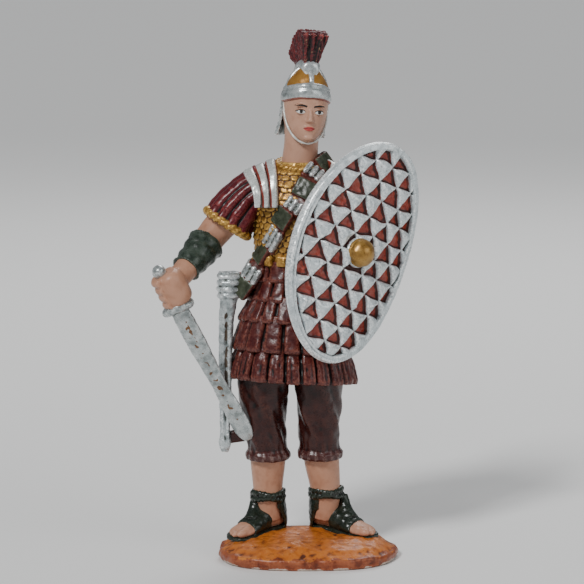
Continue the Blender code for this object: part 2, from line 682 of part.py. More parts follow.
def add_baldric(casting):
    casting.wrap(MAROON, limb(STRAP_HIP, side=Vector((0, 1, 0)), flatness=0.9), 14, 9)
    for back in (False, True):
        plates = baldric_plates(back)
        last = len(plates) - 1
        for i, (spot, facing) in enumerate(plates):
            first, second = plates[max(i - 1, 0)][0], plates[min(i + 1, last)][0]
            run = second - first
            length = run.length / (2 if 0 < i < last else 1)
            side = run.cross(facing).normalized()
            square = i % 2 == 0
            strips = [0.0] if square else [(k - (BAR_COUNT - 1) / 2) * BALDRIC_WIDTH / BAR_COUNT
                                           for k in range(BAR_COUNT)]
            width = BALDRIC_WIDTH / 2 if square else BALDRIC_WIDTH / BAR_COUNT * 0.42
            for shift in strips:
                half = (length * 0.47 * UNIT, width * UNIT, BALDRIC_RISE * UNIT)
                add_box(casting, GREEN if square else SILVER, at(*(spot + side * shift)), run, side, half)


# Head, neck and helmet. They are made facing -Y about the head's own axis and turned together.
HEAD_X, HEAD_Y = -0.85, 2.6
HEAD_PIVOT = 85.0
HEAD_TURN = math.radians(12)
HEAD_LEAN = math.radians(4.5)
NECK = ((-1.6, 3.6, 76.5, 4.1), (-1.5, 3.4, 80.0, 3.75), (-1.2, 2.9, 83.5, 3.6), (-1.0, 2.9, 88.0, 3.7))
# Height, half width, reach to the front and reach to the back
SKULL = ((83.9, 1.3, 4.3, 0.5), (84.5, 2.5, 5.1, 1.8), (86.0, 3.7, 5.45, 3.2), (88.2, 4.35, 5.3, 4.3),
         (90.5, 4.65, 5.2, 5.0), (92.6, 4.75, 5.35, 5.4), (95.0, 4.6, 5.0, 5.4), (97.0, 3.4, 3.6, 4.0))


def head_pose():
    """The head looks a little to its left and leans to the same side."""
    return Matrix.Rotation(HEAD_LEAN, 3, "Y") @ Matrix.Rotation(HEAD_TURN, 3, "Z")


def head_place(x, y, z):
    """A point in the head's own frame, posed with the head."""
    spot = head_pose() @ Vector((x, y, z - HEAD_PIVOT))
    return at(HEAD_X + spot.x, HEAD_Y + spot.y, HEAD_PIVOT + spot.z)


def figure_units(point):
    """A point turned back from metres into hundredths of the figure's height above its soles."""
    return point.x / UNIT, point.y / UNIT, (point.z - GROUND) / UNIT


def head_rings(stations):
    rows = [Vector(s) for s in stations]

    def surface(u, w):
        z, half, front, back = smooth(rows, w * (len(rows) - 1))
        angle = 2 * math.pi * u
        s = math.sin(angle)
        return head_place(half * math.cos(angle), s * (back if s > 0 else front), z)

    return surface


# Nose bridge, nose tip, the two brows, mouth and chin: place, radii and lean in degrees
FACE_FORMS = (((0, -5.35, 89.4), (0.75, 0.95, 2.0), -14), ((0, -5.85, 88.2), (1.05, 0.75, 0.62), 0),
              ((-1.9, -4.85, 92.1), (1.45, 0.62, 0.45), 0), ((1.9, -4.85, 92.1), (1.45, 0.62, 0.45), 0),
              ((0, -5.3, 86.3), (1.3, 0.65, 0.6), 0), ((0, -4.7, 84.7), (1.4, 1.0, 0.8), 0))


def head_ball(casting, kind, place, radii, lean=0.0):
    turn = (head_pose() @ Matrix.Rotation(lean, 3, "X")).to_4x4()
    casting.ball(kind, head_place(*place), tuple(r * UNIT for r in radii), turn, 12, 8)


def add_head(casting):
    casting.wrap(SKIN, limb(NECK), 20, 6)
    casting.wrap(SKIN, head_rings(SKULL), 26, 20)
    for place, radii, lean in FACE_FORMS:
        head_ball(casting, SKIN, place, radii, math.radians(lean))


# The brow band rises over the forehead and drops towards the ears
HELMET_BAND = ((92.0, 4.75, 5.25, 5.6), (92.3, 5.15, 5.65, 6.0), (93.7, 5.1, 5.6, 5.9),
               (94.2, 4.85, 5.35, 5.6), (95.3, 4.45, 4.9, 5.2))
HELMET_DOME = ((93.0, 4.6, 5.2, 5.6), (94.9, 4.55, 5.0, 5.4), (96.9, 3.8, 4.2, 4.7), (98.4, 2.7, 3.1, 3.7),
               (99.4, 1.6, 2.0, 2.5))
BROW_RISE = 1.2
RIB_RADIUS = 0.65
RIB_SUNK = 0.35
NECK_GUARD_ARC = math.radians(18)
# Height, reach to the side and reach to the back
NECK_GUARD = ((93.5, 4.6, 5.5), (90.3, 4.5, 5.5), (87.2, 4.8, 6.0), (84.5, 5.3, 7.0))
NECK_GUARD_THICKNESS = 0.8
CHIN_STRAP_TOP = 92.4
CHIN_STRAP_DROP = 8.6
CHIN_STRAP_REACH = (4.65, 4.3)
CHIN_STRAP_RADIUS = 0.45


def add_helmet(casting):
    def band(u, w):
        z, half, front, back = HELMET_BAND[round(w * (len(HELMET_BAND) - 1))]
        angle = 2 * math.pi * u
        s = math.sin(angle)
        rise = BROW_RISE * max(0.0, -s) ** 1.5
        return head_place(half * math.cos(angle), s * (back if s > 0 else front), z + rise)

    casting.wrap(SILVER, band, 28, len(HELMET_BAND) - 1)
    casting.wrap(GOLD, head_rings(HELMET_DOME), 28, 12)
    for turn in (-90, 0, 90, 180):
        c, s = round(math.cos(math.radians(turn))), round(math.sin(math.radians(turn)))
        rib = []
        for z, half, front, back in HELMET_DOME[1:]:
            reach = (back if s > 0 else front) - RIB_SUNK
            rib.append((*figure_units(head_place(c * (half - RIB_SUNK), s * reach, z)), RIB_RADIUS))
        casting.wrap(SILVER, limb(rib), 8, len(rib) - 1)

    def guard(u, w):
        corner = round(u * 8) % 8
        deep = (0, 1, 2, 3, 3, 2, 1, 0)[corner]
        thick = NECK_GUARD_THICKNESS / 2 * (1 if corner < 4 else -1)
        z, side, back = NECK_GUARD[deep]
        angle = NECK_GUARD_ARC + (math.pi - 2 * NECK_GUARD_ARC) * w
        stretch = math.cos(NECK_GUARD_ARC)
        return head_place((side / stretch + thick) * math.cos(angle), (back + thick) * math.sin(angle), z)

    casting.wrap(SILVER, guard, 8, 12)
    strap = []
    for step in range(9):
        angle = math.pi * (step / 8)
        aside, ahead = CHIN_STRAP_REACH[0] * math.cos(angle), CHIN_STRAP_REACH[1] * math.sin(angle)
        spot = head_place(aside, 0.2 - ahead, CHIN_STRAP_TOP - CHIN_STRAP_DROP * math.sin(angle) ** 0.75)
        strap.append((*figure_units(spot), CHIN_STRAP_RADIUS))
    casting.wrap(SILVER, limb(strap), 8, 16)


# Crest: a holder along the helmet's crown and a brush that spreads upwards to both ends and both sides
CREST_HOLDER = ((-3.3, 97.2, 1.2), (-2.3, 98.9, 2.0), (0.6, 99.6, 2.3), (3.4, 98.4, 2.0), (5.2, 95.6, 1.4))
CREST_HOLDER_RISE = 1.6
CREST_STEPS = 10
CREST_RIDGE = 0.25
# The brush's foot and head: where they start, how far back they run, their height and their drop to the back
CREST_FOOT = (-2.3, 7.5, 100.0, 2.8)
CREST_HEAD = (-4.6, 14.4, 106.3, 5.0)


def crest_outline(t):
    """Foot and head of the brush at t from its front, 0, to its back, 1."""
    start, run, height, drop = CREST_FOOT
    arch = 0.8 * math.sin(math.pi * min(1, t * 1.2))
    foot = Vector((start + run * t, height + arch - drop * max(0, t - 0.5)))
    start, run, height, drop = CREST_HEAD
    arch = 0.9 * math.sin(math.pi * min(1, 1.6 * t))
    head = Vector((start + run * t, height + arch - drop * t ** 3))
    return foot, head


def add_crest(casting):
    def holder(u, w):
        y, z, half = smooth([Vector(s) for s in CREST_HOLDER], w * (len(CREST_HOLDER) - 1))
        angle = 2 * math.pi * u
        return head_place(half * math.cos(angle), y, z + CREST_HOLDER_RISE * math.sin(angle))

    casting.wrap(SILVER, holder, 20, 12)
    rows = ((-0.25, 1.3), (0.0, 1.7), (0.97, 2.8))

    def brush(u, w):
        side = round(u * 6) % 6
        t = round(w * CREST_STEPS) / CREST_STEPS
        foot, head = crest_outline(t)
        share, half = rows[(0, 1, 2, 2, 1, 0)[side]]
        half -= CREST_RIDGE * (round(w * CREST_STEPS) % 2) + 0.9 * max(0.0, t - 0.6)
        spot = foot.lerp(head, share)
        return head_place(half * (1 if side < 3 else -1), spot.x, spot.y)

    casting.wrap(MAROON, brush, 6, CREST_STEPS)


# Shield
def shield_axes():
    """The shield's own right, up and outward ways."""
    out = Vector((math.sin(SHIELD_YAW), -math.cos(SHIELD_YAW), 0))
    level = Vector((math.cos(SHIELD_YAW), math.sin(SHIELD_YAW), 0))
    up = Vector((0, 0, 1)) * math.cos(SHIELD_LEAN) + level * math.sin(SHIELD_LEAN)
    right = level * math.cos(SHIELD_LEAN) - Vector((0, 0, 1)) * math.sin(SHIELD_LEAN)
    return right, up, out


def shield_frame():
    """The middle of the shield's rim plane, and its outward way."""
    return at(9.05, -7.2, 61.85), shield_axes()[2]


def shield_height(x):
    """How far the face stands out from the plane of its two long sides, which it curves back to."""
    return SHIELD_DOME * (1 - (2 * x / SHIELD_WIDTH) ** 2)


def clip(polygon, half_width, half_length, steps=36):
    """The part of a convex polygon inside an oval."""
    for k in range(steps):
        angle = 2 * math.pi * k / steps
        normal = Vector((math.cos(angle) / half_width, math.sin(angle) / half_length))
        inside = [1 - normal.dot(p) for p in polygon]
        kept = []
        for i, p in enumerate(polygon):
            q, a, b = polygon[i - 1], inside[i], inside[i - 1]
            if (a >= 0) != (b >= 0):
                kept.append(q.lerp(p, b / (b - a)))
            if a >= 0:
                kept.append(p)
        polygon = kept
        if len(polygon) < 3:
            return []
    return polygon


def area(polygon):
    return abs(sum(polygon[i - 1].cross(p) for i, p in enumerate(polygon))) / 2


def pocket_outlines():
    """The triangular pockets of the field, cut short where they would meet the rim."""
    whole = POCKET_SIDE ** 2 * math.sqrt(3) / 4
    half_width = SHIELD_WIDTH / 2 - SHIELD_RIM_WIDTH - 0.3 * MM
    half_length = SHIELD_LENGTH / 2 - SHIELD_RIM_WIDTH - 0.3 * MM
    turn = Matrix.Rotation(POCKET_TURN, 2)
    reach = int(SHIELD_LENGTH / POCKET_PITCH) + 1
    for row in range(-reach, reach + 1):
        for column in range(-reach, reach + 1):
            middle = Vector(((column + row / 2) * POCKET_PITCH, row * POCKET_ROW_PITCH))
            corners = []
            for corner in range(3):
                angle = math.radians(120 * corner)
                spoke = Vector((math.sin(angle), math.cos(angle))) * POCKET_SIDE / math.sqrt(3)
                corners.append(POCKET_START + turn @ (middle + spoke))
            outline = clip(corners, half_width, half_length)
            if outline and area(outline) > POCKET_SMALLEST * whole:
                yield outline


def add_shield(shield):
    """The board with its raised rim, boss and glue pad. It returns the cutters of its pockets."""
    centre, out = shield_frame()
    right, up, _ = shield_axes()

    def place(x, y, z):
        return centre + right * x + up * y + out * z

    # Share of the half width, and whether it is the outer face, the raised rim or the inner face
    rim = SHIELD_RIM_WIDTH / (SHIELD_WIDTH / 2)
    rings = [(0.02, "in"), (0.5, "in"), (1 - rim, "in"), (0.985, "in"), (1.0, "edge"),
             (1 - rim * 0.35, "rim"), (1 - rim, "rim"), (1 - rim, "out"), (0.8, "out"), (0.55, "out"), (0.3, "out"), (0.02, "out")]

    def board(u, w):
        share, side = rings[round(w * (len(rings) - 1))]
        angle = 2 * math.pi * u
        long_share = 1 - (1 - share) * SHIELD_WIDTH / SHIELD_LENGTH if side == "rim" else share
        x = SHIELD_WIDTH / 2 * share * math.cos(angle)
        y = SHIELD_LENGTH / 2 * long_share * math.sin(angle)
        lift = {"out": 0.0, "rim": SHIELD_RIM_RISE, "edge": -0.4 * SHIELD_THICKNESS,
                "in": -SHIELD_THICKNESS}[side]
        return place(x, y, shield_height(x) + lift)

    shield.wrap(RED, board, 32, len(rings) - 1)
    boss_rows = ((-1.2 * MM, 1.0), (0.3 * MM, 1.0), (1.6 * MM, 0.88), (2.6 * MM, 0.6), (3.1 * MM, 0.2))

    def boss(u, w):
        height, share = boss_rows[round(w * 4)]
        angle = 2 * math.pi * u
        reach = SHIELD_BOSS_RADIUS * share
        return place(reach * math.cos(angle), reach * math.sin(angle), SHIELD_DOME + height)

    shield.wrap(GOLD, boss, 14, 4)

    def pad(u, w):
        angle = 2 * math.pi * u
        return place(PAD_RADIUS * math.cos(angle), PAD_RADIUS * math.sin(angle),
                     SHIELD_DOME - SHIELD_THICKNESS - PAD_THICKNESS * (1 - 2 * w))

    shield.wrap(RED, pad, 14, 1)
    cutters = []
    boss_clear = SHIELD_BOSS_RADIUS + 0.2 * MM
    for outline in pocket_outlines():
        middle = sum(outline, Vector((0, 0))) / len(outline)
        if middle.length < boss_clear:
            continue
        floor = min(shield_height(p[0]) for p in outline) - POCKET_DEPTH * 0.6
        bm = bmesh.new()
        floor_face = bm.faces.new([bm.verts.new(place(*p, floor)) for p in outline])
        mouth = bmesh.ops.extrude_face_region(bm, geom=[floor_face], use_keep_orig=True)["geom"]
        mouth_verts = [item for item in mouth if isinstance(item, bmesh.types.BMVert)]
        bmesh.ops.translate(bm, vec=out * 4 * MM, verts=mouth_verts)
        cutters.append(helper_object("pocket", bm))
    return cutters


def underside_cutter():
    """The block under the base that trims its underside flat."""
    bm = bmesh.new()
    bmesh.ops.create_cube(bm, size=2 * BASE_LENGTH)
    bmesh.ops.translate(bm, vec=(0, 0, -BASE_LENGTH), verts=bm.verts)
    return helper_object("underside", bm)


def main():
    clear_scene()
    soldier = Casting("soldier")
    for add_form in (add_base, add_legs, add_trousers, add_skirt, add_torso, add_shoulder_guards, add_arms,
                     add_sword, add_hands, add_scabbard, add_baldric, add_head, add_helmet, add_crest):
        add_form(soldier)
    figure = soldier.place()
    fuse(figure)
    cut_away(figure, "flat_underside", [underside_cutter()])
    shield = Casting("shield")
    cutters = add_shield(shield)
    cut_away(shield.place(), "pockets", cutters)


main()
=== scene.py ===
"""The looks of a painted cast figurine: a Roman soldier with a short sword and a tall oval shield.

Each painted region of the casting is a piece of its own. Shapes are made in millimetres, with heights above the
figure's soles, and are brought to metres above the floor when a piece is finished.
"""

import sys
import logging
import math
from dataclasses import dataclass
from enum import Enum
from typing import Callable, Optional, Sequence, Union

import bmesh
import bpy
import numpy as np
from mathutils import Matrix, Vector, noise
from mathutils.bvhtree import BVHTree


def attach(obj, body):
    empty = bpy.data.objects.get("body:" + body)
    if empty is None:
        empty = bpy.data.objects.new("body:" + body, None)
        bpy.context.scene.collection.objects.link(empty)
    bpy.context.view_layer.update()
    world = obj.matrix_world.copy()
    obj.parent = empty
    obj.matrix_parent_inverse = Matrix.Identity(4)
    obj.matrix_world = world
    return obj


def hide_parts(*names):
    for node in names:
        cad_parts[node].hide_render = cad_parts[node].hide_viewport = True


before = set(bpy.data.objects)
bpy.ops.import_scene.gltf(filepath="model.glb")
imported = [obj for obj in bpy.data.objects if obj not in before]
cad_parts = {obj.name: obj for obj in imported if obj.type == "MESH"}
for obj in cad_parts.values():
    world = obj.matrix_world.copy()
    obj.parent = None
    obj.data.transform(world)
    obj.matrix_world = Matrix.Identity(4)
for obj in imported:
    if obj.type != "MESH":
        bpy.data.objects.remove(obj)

Array = np.ndarray
Surface = Callable[[Array, Array], Array]
Relief = Callable[[Array, Array], Array]
Input = Union[bpy.types.NodeSocket, float, tuple]

log = logging.getLogger("figurine")

TURN = 2 * math.pi
METRES = 0.001
SOLES = 4.6
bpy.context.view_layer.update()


class Node(Enum):
    """The castings that the pieces stand for."""

    SOLDIER = "soldier"
    SHIELD = "shield"


# Numbers and curves
def column(values: Array) -> Array:
    """Numbers as a column, to multiply rows of coordinates by them."""
    return np.asarray(values, float)[:, None]


def unit(vectors: Array) -> Array:
    """Rows of coordinates, each brought to length 1."""
    return vectors / np.maximum(np.linalg.norm(vectors, axis=-1, keepdims=True), 1e-9)


def step(values: Array, low: float, high: float) -> Array:
    """A soft step from 0 at low to 1 at high."""
    share = np.clip((values - low) / (high - low), 0, 1)
    return share * share * (3 - 2 * share)


def smooth_rows(stations: Sequence, t: Array) -> Array:
    """Reads a smooth curve through evenly spaced rows of numbers.

    Args:
        stations: one row of numbers for each station.
        t: places along the curve, from 0 to the last station's number.

    Returns:
        One row of numbers for each place.
    """
    rows = np.asarray(stations, float)
    last = len(rows) - 1
    i = np.clip(t.astype(int), 0, last - 1)
    f = column(t - i)
    a, b, c, d = (rows[np.clip(i + k, 0, last)] for k in (-1, 0, 1, 2))
    return 0.5 * (2 * b + (c - a) * f + (2 * a - 5 * b + 4 * c - d) * f ** 2 + (3 * b - a - 3 * c + d) * f ** 3)


def swept(stations: Sequence, w: Array) -> Array:
    """The columns of the smooth curve through the stations, at shares of its length."""
    return smooth_rows(stations, w * (len(stations) - 1)).T


def lumps(points: Array, size: float, seed: float = 0.0) -> Array:
    """Soft uneven lumps.

    Args:
        points: rows of coordinates.
        size: breadth of a lump.
        seed: moves the pattern.

    Returns:
        A value from about -1 to 1 for each point.
    """
    shifted = points / size + seed
    return np.array([noise.noise(Vector(p)) for p in shifted.tolist()]) * 1.6


def level_rings(stations: Sequence, tilt: tuple = (0.0, 0.0), relief: Optional[Relief] = None) -> Surface:
    """A surface of level rings.

    Args:
        stations: rows of x, y, z, half width and half depth.
        tilt: how far a ring drops for each step in x and in y from its middle.
        relief: how far the skin stands out, from the share of the way round and along.

    Returns:
        The surface.
    """
    def surface(u: Array, w: Array) -> Array:
        """The rings' points.

        Args:
            u: shares round.
            w: shares along.

        Returns:
            A row of coordinates for each.
        """
        x, y, z, rx, ry = swept(stations, w)
        rise = relief(u, w) if relief else 0.0
        dx = (rx + rise) * np.cos(TURN * u)
        dy = (ry + rise) * np.sin(TURN * u)
        return np.stack([x + dx, y + dy, z - tilt[0] * dx - tilt[1] * dy], 1)

    return surface


def limb_rings(stations: Sequence, relief: Optional[Relief] = None, side: tuple = (0.3, 1.0, 0.1),
               flatness: float = 1.0) -> Surface:
    """A surface of rings square to their path.

    Args:
        stations: rows of x, y, z and radius.
        relief: how far the skin stands out, from the share of the way round and along.
        side: the way in which a ring starts.
        flatness: a ring's second half width as a share of its first.

    Returns:
        The surface.
    """
    rows = np.asarray(stations, float)
    last = len(rows) - 1

    def surface(u: Array, w: Array) -> Array:
        """The rings' points.

        Args:
            u: shares round.
            w: shares along.

        Returns:
            A row of coordinates for each.
        """
        here = smooth_rows(rows, w * last)
        ahead = smooth_rows(rows[:, :3], np.minimum(w * last + 0.02, last))
        behind = smooth_rows(rows[:, :3], np.maximum(w * last - 0.02, 0))
        normal = unit(ahead - behind)
        start = np.asarray(side, float)
        across = unit(start - normal * column(normal @ start))
        other = np.cross(normal, across)
        radius = here[:, 3] + (relief(u, w) if relief else 0.0)
        return here[:, :3] + (across * column(np.cos(TURN * u))
                              + other * column(np.sin(TURN * u) * flatness)) * column(radius)

    return surface


# Meshes
def read_rows(items: bpy.types.bpy_prop_collection, name: str, width: int, kind: type) -> Array:
    """Reads one property of a mesh's vertices, normals or edges.

    Args:
        items: the vertices, normals or edges.
        name: the property.
        width: how many numbers it has.
        kind: their type.

    Returns:
        One row of numbers for each item.
    """
    values = np.empty(len(items) * width, kind)
    items.foreach_get(name, values)
    return values.reshape(-1, width)


def read_points(mesh: bpy.types.Mesh) -> Array:
    """The mesh's vertices as rows of coordinates."""
    return read_rows(mesh.vertices, "co", 3, np.float32).astype(float)


def write_points(mesh: bpy.types.Mesh, points: Array) -> None:
    """Moves the mesh's vertices."""
    mesh.vertices.foreach_set("co", points.astype(np.float32).ravel())
    mesh.update()


def read_normals(mesh: bpy.types.Mesh) -> Array:
    """The mesh's vertex normals as rows."""
    return read_rows(mesh.vertex_normals, "vector", 3, np.float32).astype(float)


def read_edges(mesh: bpy.types.Mesh) -> Array:
    """The mesh's edges as rows of two vertex numbers."""
    return read_rows(mesh.edges, "vertices", 2, np.int32)


def relaxed(values: Array, edges: Array, rounds: int) -> Array:
    """Averages the values of neighbouring vertices.

    Args:
        values: one row for each vertex.
        edges: the mesh's edges.
        rounds: how often to average.

    Returns:
        The averaged values.
    """
    count = len(values)
    degree = np.maximum(np.bincount(edges.ravel(), minlength=count), 1)
    for _ in range(rounds):
        near = np.stack([np.bincount(edges[:, 0], part[edges[:, 1]], count)
                         + np.bincount(edges[:, 1], part[edges[:, 0]], count) for part in values.T], 1)
        values = 0.5 * values + 0.5 * near / column(degree)
    return values


def write_value(mesh: bpy.types.Mesh, name: str, values: Array) -> None:
    """Stores one number for each vertex, for the materials to read."""
    layer = mesh.attributes.get(name) or mesh.attributes.new(name, "FLOAT", "POINT")
    layer.data.foreach_set("value", values.astype(np.float32))


def uneven(mesh: bpy.types.Mesh, height: float, size: float, seed: float) -> Array:
    """Raises soft lumps on a mesh.

    Args:
        mesh: the mesh, in millimetres.
        height: how far the lumps stand out.
        size: breadth of a lump.
        seed: moves the pattern.

    Returns:
        The mesh's points as they were before.
    """
    points = read_points(mesh)
    write_points(mesh, points + read_normals(mesh) * column(height * lumps(points, size, seed)))
    return points


class Sculpt:
    """Closed forms gathered in one mesh, in millimetres above the soles."""

    SOFTENING = 0.5

    def __init__(self) -> None:
        """Starts with no form."""
        self.forms = bmesh.new()

    def add(self, form: bmesh.types.BMesh) -> None:
        """Takes in one form and frees it.

        Args:
            form: the form.
        """
        bmesh.ops.recalc_face_normals(form, faces=form.faces)
        mesh = bpy.data.meshes.new("form")
        form.to_mesh(mesh)
        form.free()
        self.forms.from_mesh(mesh)
        bpy.data.meshes.remove(mesh)

    def wrap(self, surface: Surface, sides: int, rows: int) -> None:
        """Bends a grid into a closed skin, with its columns round the form and its rows along it.

        Args:
            surface: gives the points for shares of the way round and along.
            sides: number of columns.
            rows: number of rows.
        """
        form = bmesh.new()
        bmesh.ops.create_grid(form, x_segments=sides, y_segments=rows, size=0.5)
        mesh = bpy.data.meshes.new("grid")
        form.to_mesh(mesh)
        flat = read_points(mesh)
        write_points(mesh, surface(np.round(flat[:, 0] + 0.5, 5) % 1.0, flat[:, 1] + 0.5))
        form.clear()
        form.from_mesh(mesh)
        bpy.data.meshes.remove(mesh)
        bmesh.ops.remove_doubles(form, verts=form.verts, dist=0.0005)
        open_edges = [edge for edge in form.edges if edge.is_boundary]
        ends = bmesh.ops.holes_fill(form, edges=open_edges, sides=0)["faces"]
        bmesh.ops.poke(form, faces=ends)
        self.add(form)

    def ball(self, centre: Sequence, radii: Sequence, turn: Optional[Matrix] = None, sides: int = 20) -> None:
        """Adds an ellipsoid.

        Args:
            centre: its middle.
            radii: its three radii.
            turn: a rotation.
            sides: number of sides round it.
        """
        form = bmesh.new()
        bmesh.ops.create_uvsphere(form, u_segments=sides, v_segments=sides // 2, radius=1)
        spin = turn.to_4x4() if turn else Matrix()
        form.transform(Matrix.Translation(Vector(centre)) @ spin @ Matrix.Diagonal((*radii, 1)))
        self.add(form)

    def plate(self, centre: Sequence, right: Sequence, up: Sequence, half: Sequence, taper: float = 0.88,
              rounding: float = 0.3) -> None:
        """Adds a plate with rounded edges and a slightly smaller, crowned outer face.

        Args:
            centre: its middle.
            right: its own right.
            up: its own up.
            half: its half sizes to the right, up and outwards.
            taper: size of its outer face against its inner one.
            rounding: width of the rounded edges as a share of its thickness.
        """
        right, up = Vector(right).normalized(), Vector(up)
        up = (up - right * up.dot(right)).normalized()
        out = right.cross(up)
        form = bmesh.new()
        bmesh.ops.create_cube(form, size=2)
        for vert in form.verts:
            vert.co.x *= half[0] * (taper if vert.co.z > 0 else 1)
            vert.co.y *= half[1] * (taper if vert.co.z > 0 else 1)
            vert.co.z *= half[2]
        bmesh.ops.subdivide_edges(form, edges=form.edges, cuts=2, use_grid_fill=True)
        bmesh.ops.bevel(form, geom=[edge for edge in form.edges if edge.calc_face_angle(0) > 0.5],
                        offset=half[2] * rounding, affect="EDGES", segments=2, profile=0.5, material=-1)
        turn = Matrix((right, up, out)).transposed().to_4x4()
        form.transform(Matrix.Translation(Vector(centre)) @ turn)
        self.add(form)

    def plain(self) -> bpy.types.Mesh:
        """Gives the forms as they are.

        Returns:
            The mesh of them all.
        """
        mesh = bpy.data.meshes.new("forms")
        self.forms.to_mesh(mesh)
        self.forms.free()
        return mesh

    def melted(self, grain: float, rounds: int) -> bpy.types.Mesh:
        """The forms melted into one skin.

        Args:
            grain: size of the skin's facets.
            rounds: how often the skin is smoothed.

        Returns:
            The mesh of the skin.
        """
        lump = bpy.data.objects.new("lump", self.plain())
        bpy.context.scene.collection.objects.link(lump)
        skin = lump.modifiers.new("skin", "REMESH")
        skin.mode = "VOXEL"
        skin.voxel_size = grain
        soft = lump.modifiers.new("soft", "SMOOTH")
        soft.factor = self.SOFTENING
        soft.iterations = rounds
        seen = lump.evaluated_get(bpy.context.evaluated_depsgraph_get())
        mesh = bpy.data.meshes.new_from_object(seen)
        raw = lump.data
        bpy.data.objects.remove(lump)
        bpy.data.meshes.remove(raw)
        return mesh


class Shade:
    """Painted shade: how deep each place lies between its neighbours, read with a few rays against the castings.
    """

    REACH = 7.0
    LIFT = 0.45
    LEAN = 0.9
    RAYS = 5

    def __init__(self) -> None:
        """Reads the castings once."""
        points, faces = [], []
        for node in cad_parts.values():
            first = len(points)
            points += [vert.co / METRES for vert in node.data.vertices]
            faces += [[first + k for k in face.vertices] for face in node.data.polygons]
        self.tree = BVHTree.FromPolygons(points, faces)

    def read(self, points: Array, normals: Array) -> Array:
        """The share of rays that meet a casting.

        Args:
            points: places, in millimetres above the floor.
            normals: the ways they face.

        Returns:
            A share from 0 to 1 for each place.
        """
        aside = unit(np.cross(normals, np.array([0.31, 0.22, 0.92])))
        other = np.cross(normals, aside)
        met = np.zeros(len(points))
        cast = self.tree.ray_cast
        starts = [Vector(p) for p in (points + normals * self.LIFT).tolist()]
        for ray in range(self.RAYS):
            angle = TURN * ray / self.RAYS
            way = unit(normals + (aside * math.cos(angle) + other * math.sin(angle)) * self.LEAN)
            for i, (start, along) in enumerate(zip(starts, way.tolist())):
                along = Vector(along)
                _, facing, _, gap = cast(start, along, self.REACH)
                if facing is not None and facing.dot(along) < 0:
                    met[i] += 1 - gap / self.REACH
        return met / self.RAYS


SHADE = Shade()


def finish_piece(name: str, mesh: bpy.types.Mesh, finish: "Finish", node: Node = Node.SOLDIER,
                 fine: int = 3, broad: int = 15) -> None:
    """Stores what the paint needs to know, and places the mesh as a piece of its casting.

    Args:
        name: the piece's name.
        mesh: its mesh, in millimetres above the soles.
        finish: its paint.
        node: the casting that it stands for.
        fine: rounds of smoothing that find its fine edges and grooves.
        broad: rounds of smoothing that find its broad ones.
    """
    points = read_points(mesh)
    points[:, 2] += SOLES
    write_points(mesh, points)
    normals = read_normals(mesh)
    edges = read_edges(mesh)
    for label, rounds in (("fine", fine), ("broad", broad)):
        sunk = ((relaxed(points, edges, rounds) - points) * normals).sum(1)
        write_value(mesh, label, relaxed(column(sunk), edges, 1)[:, 0])
    # The share of rays that meet a casting, which the paint darkens as painted shade.
    shade = relaxed(column(SHADE.read(points, normals)), edges, 6)[:, 0]
    write_value(mesh, "shade", shade)
    write_points(mesh, points * METRES)
    mesh.shade_smooth()
    mesh.materials.clear()
    mesh.materials.append(finish.material())
    piece = bpy.data.objects.new(name, mesh)
    mesh.name = name
    bpy.context.scene.collection.objects.link(piece)
    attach(piece, "root")
    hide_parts(node.value)
    log.info("%s: %d faces", name, len(mesh.polygons))


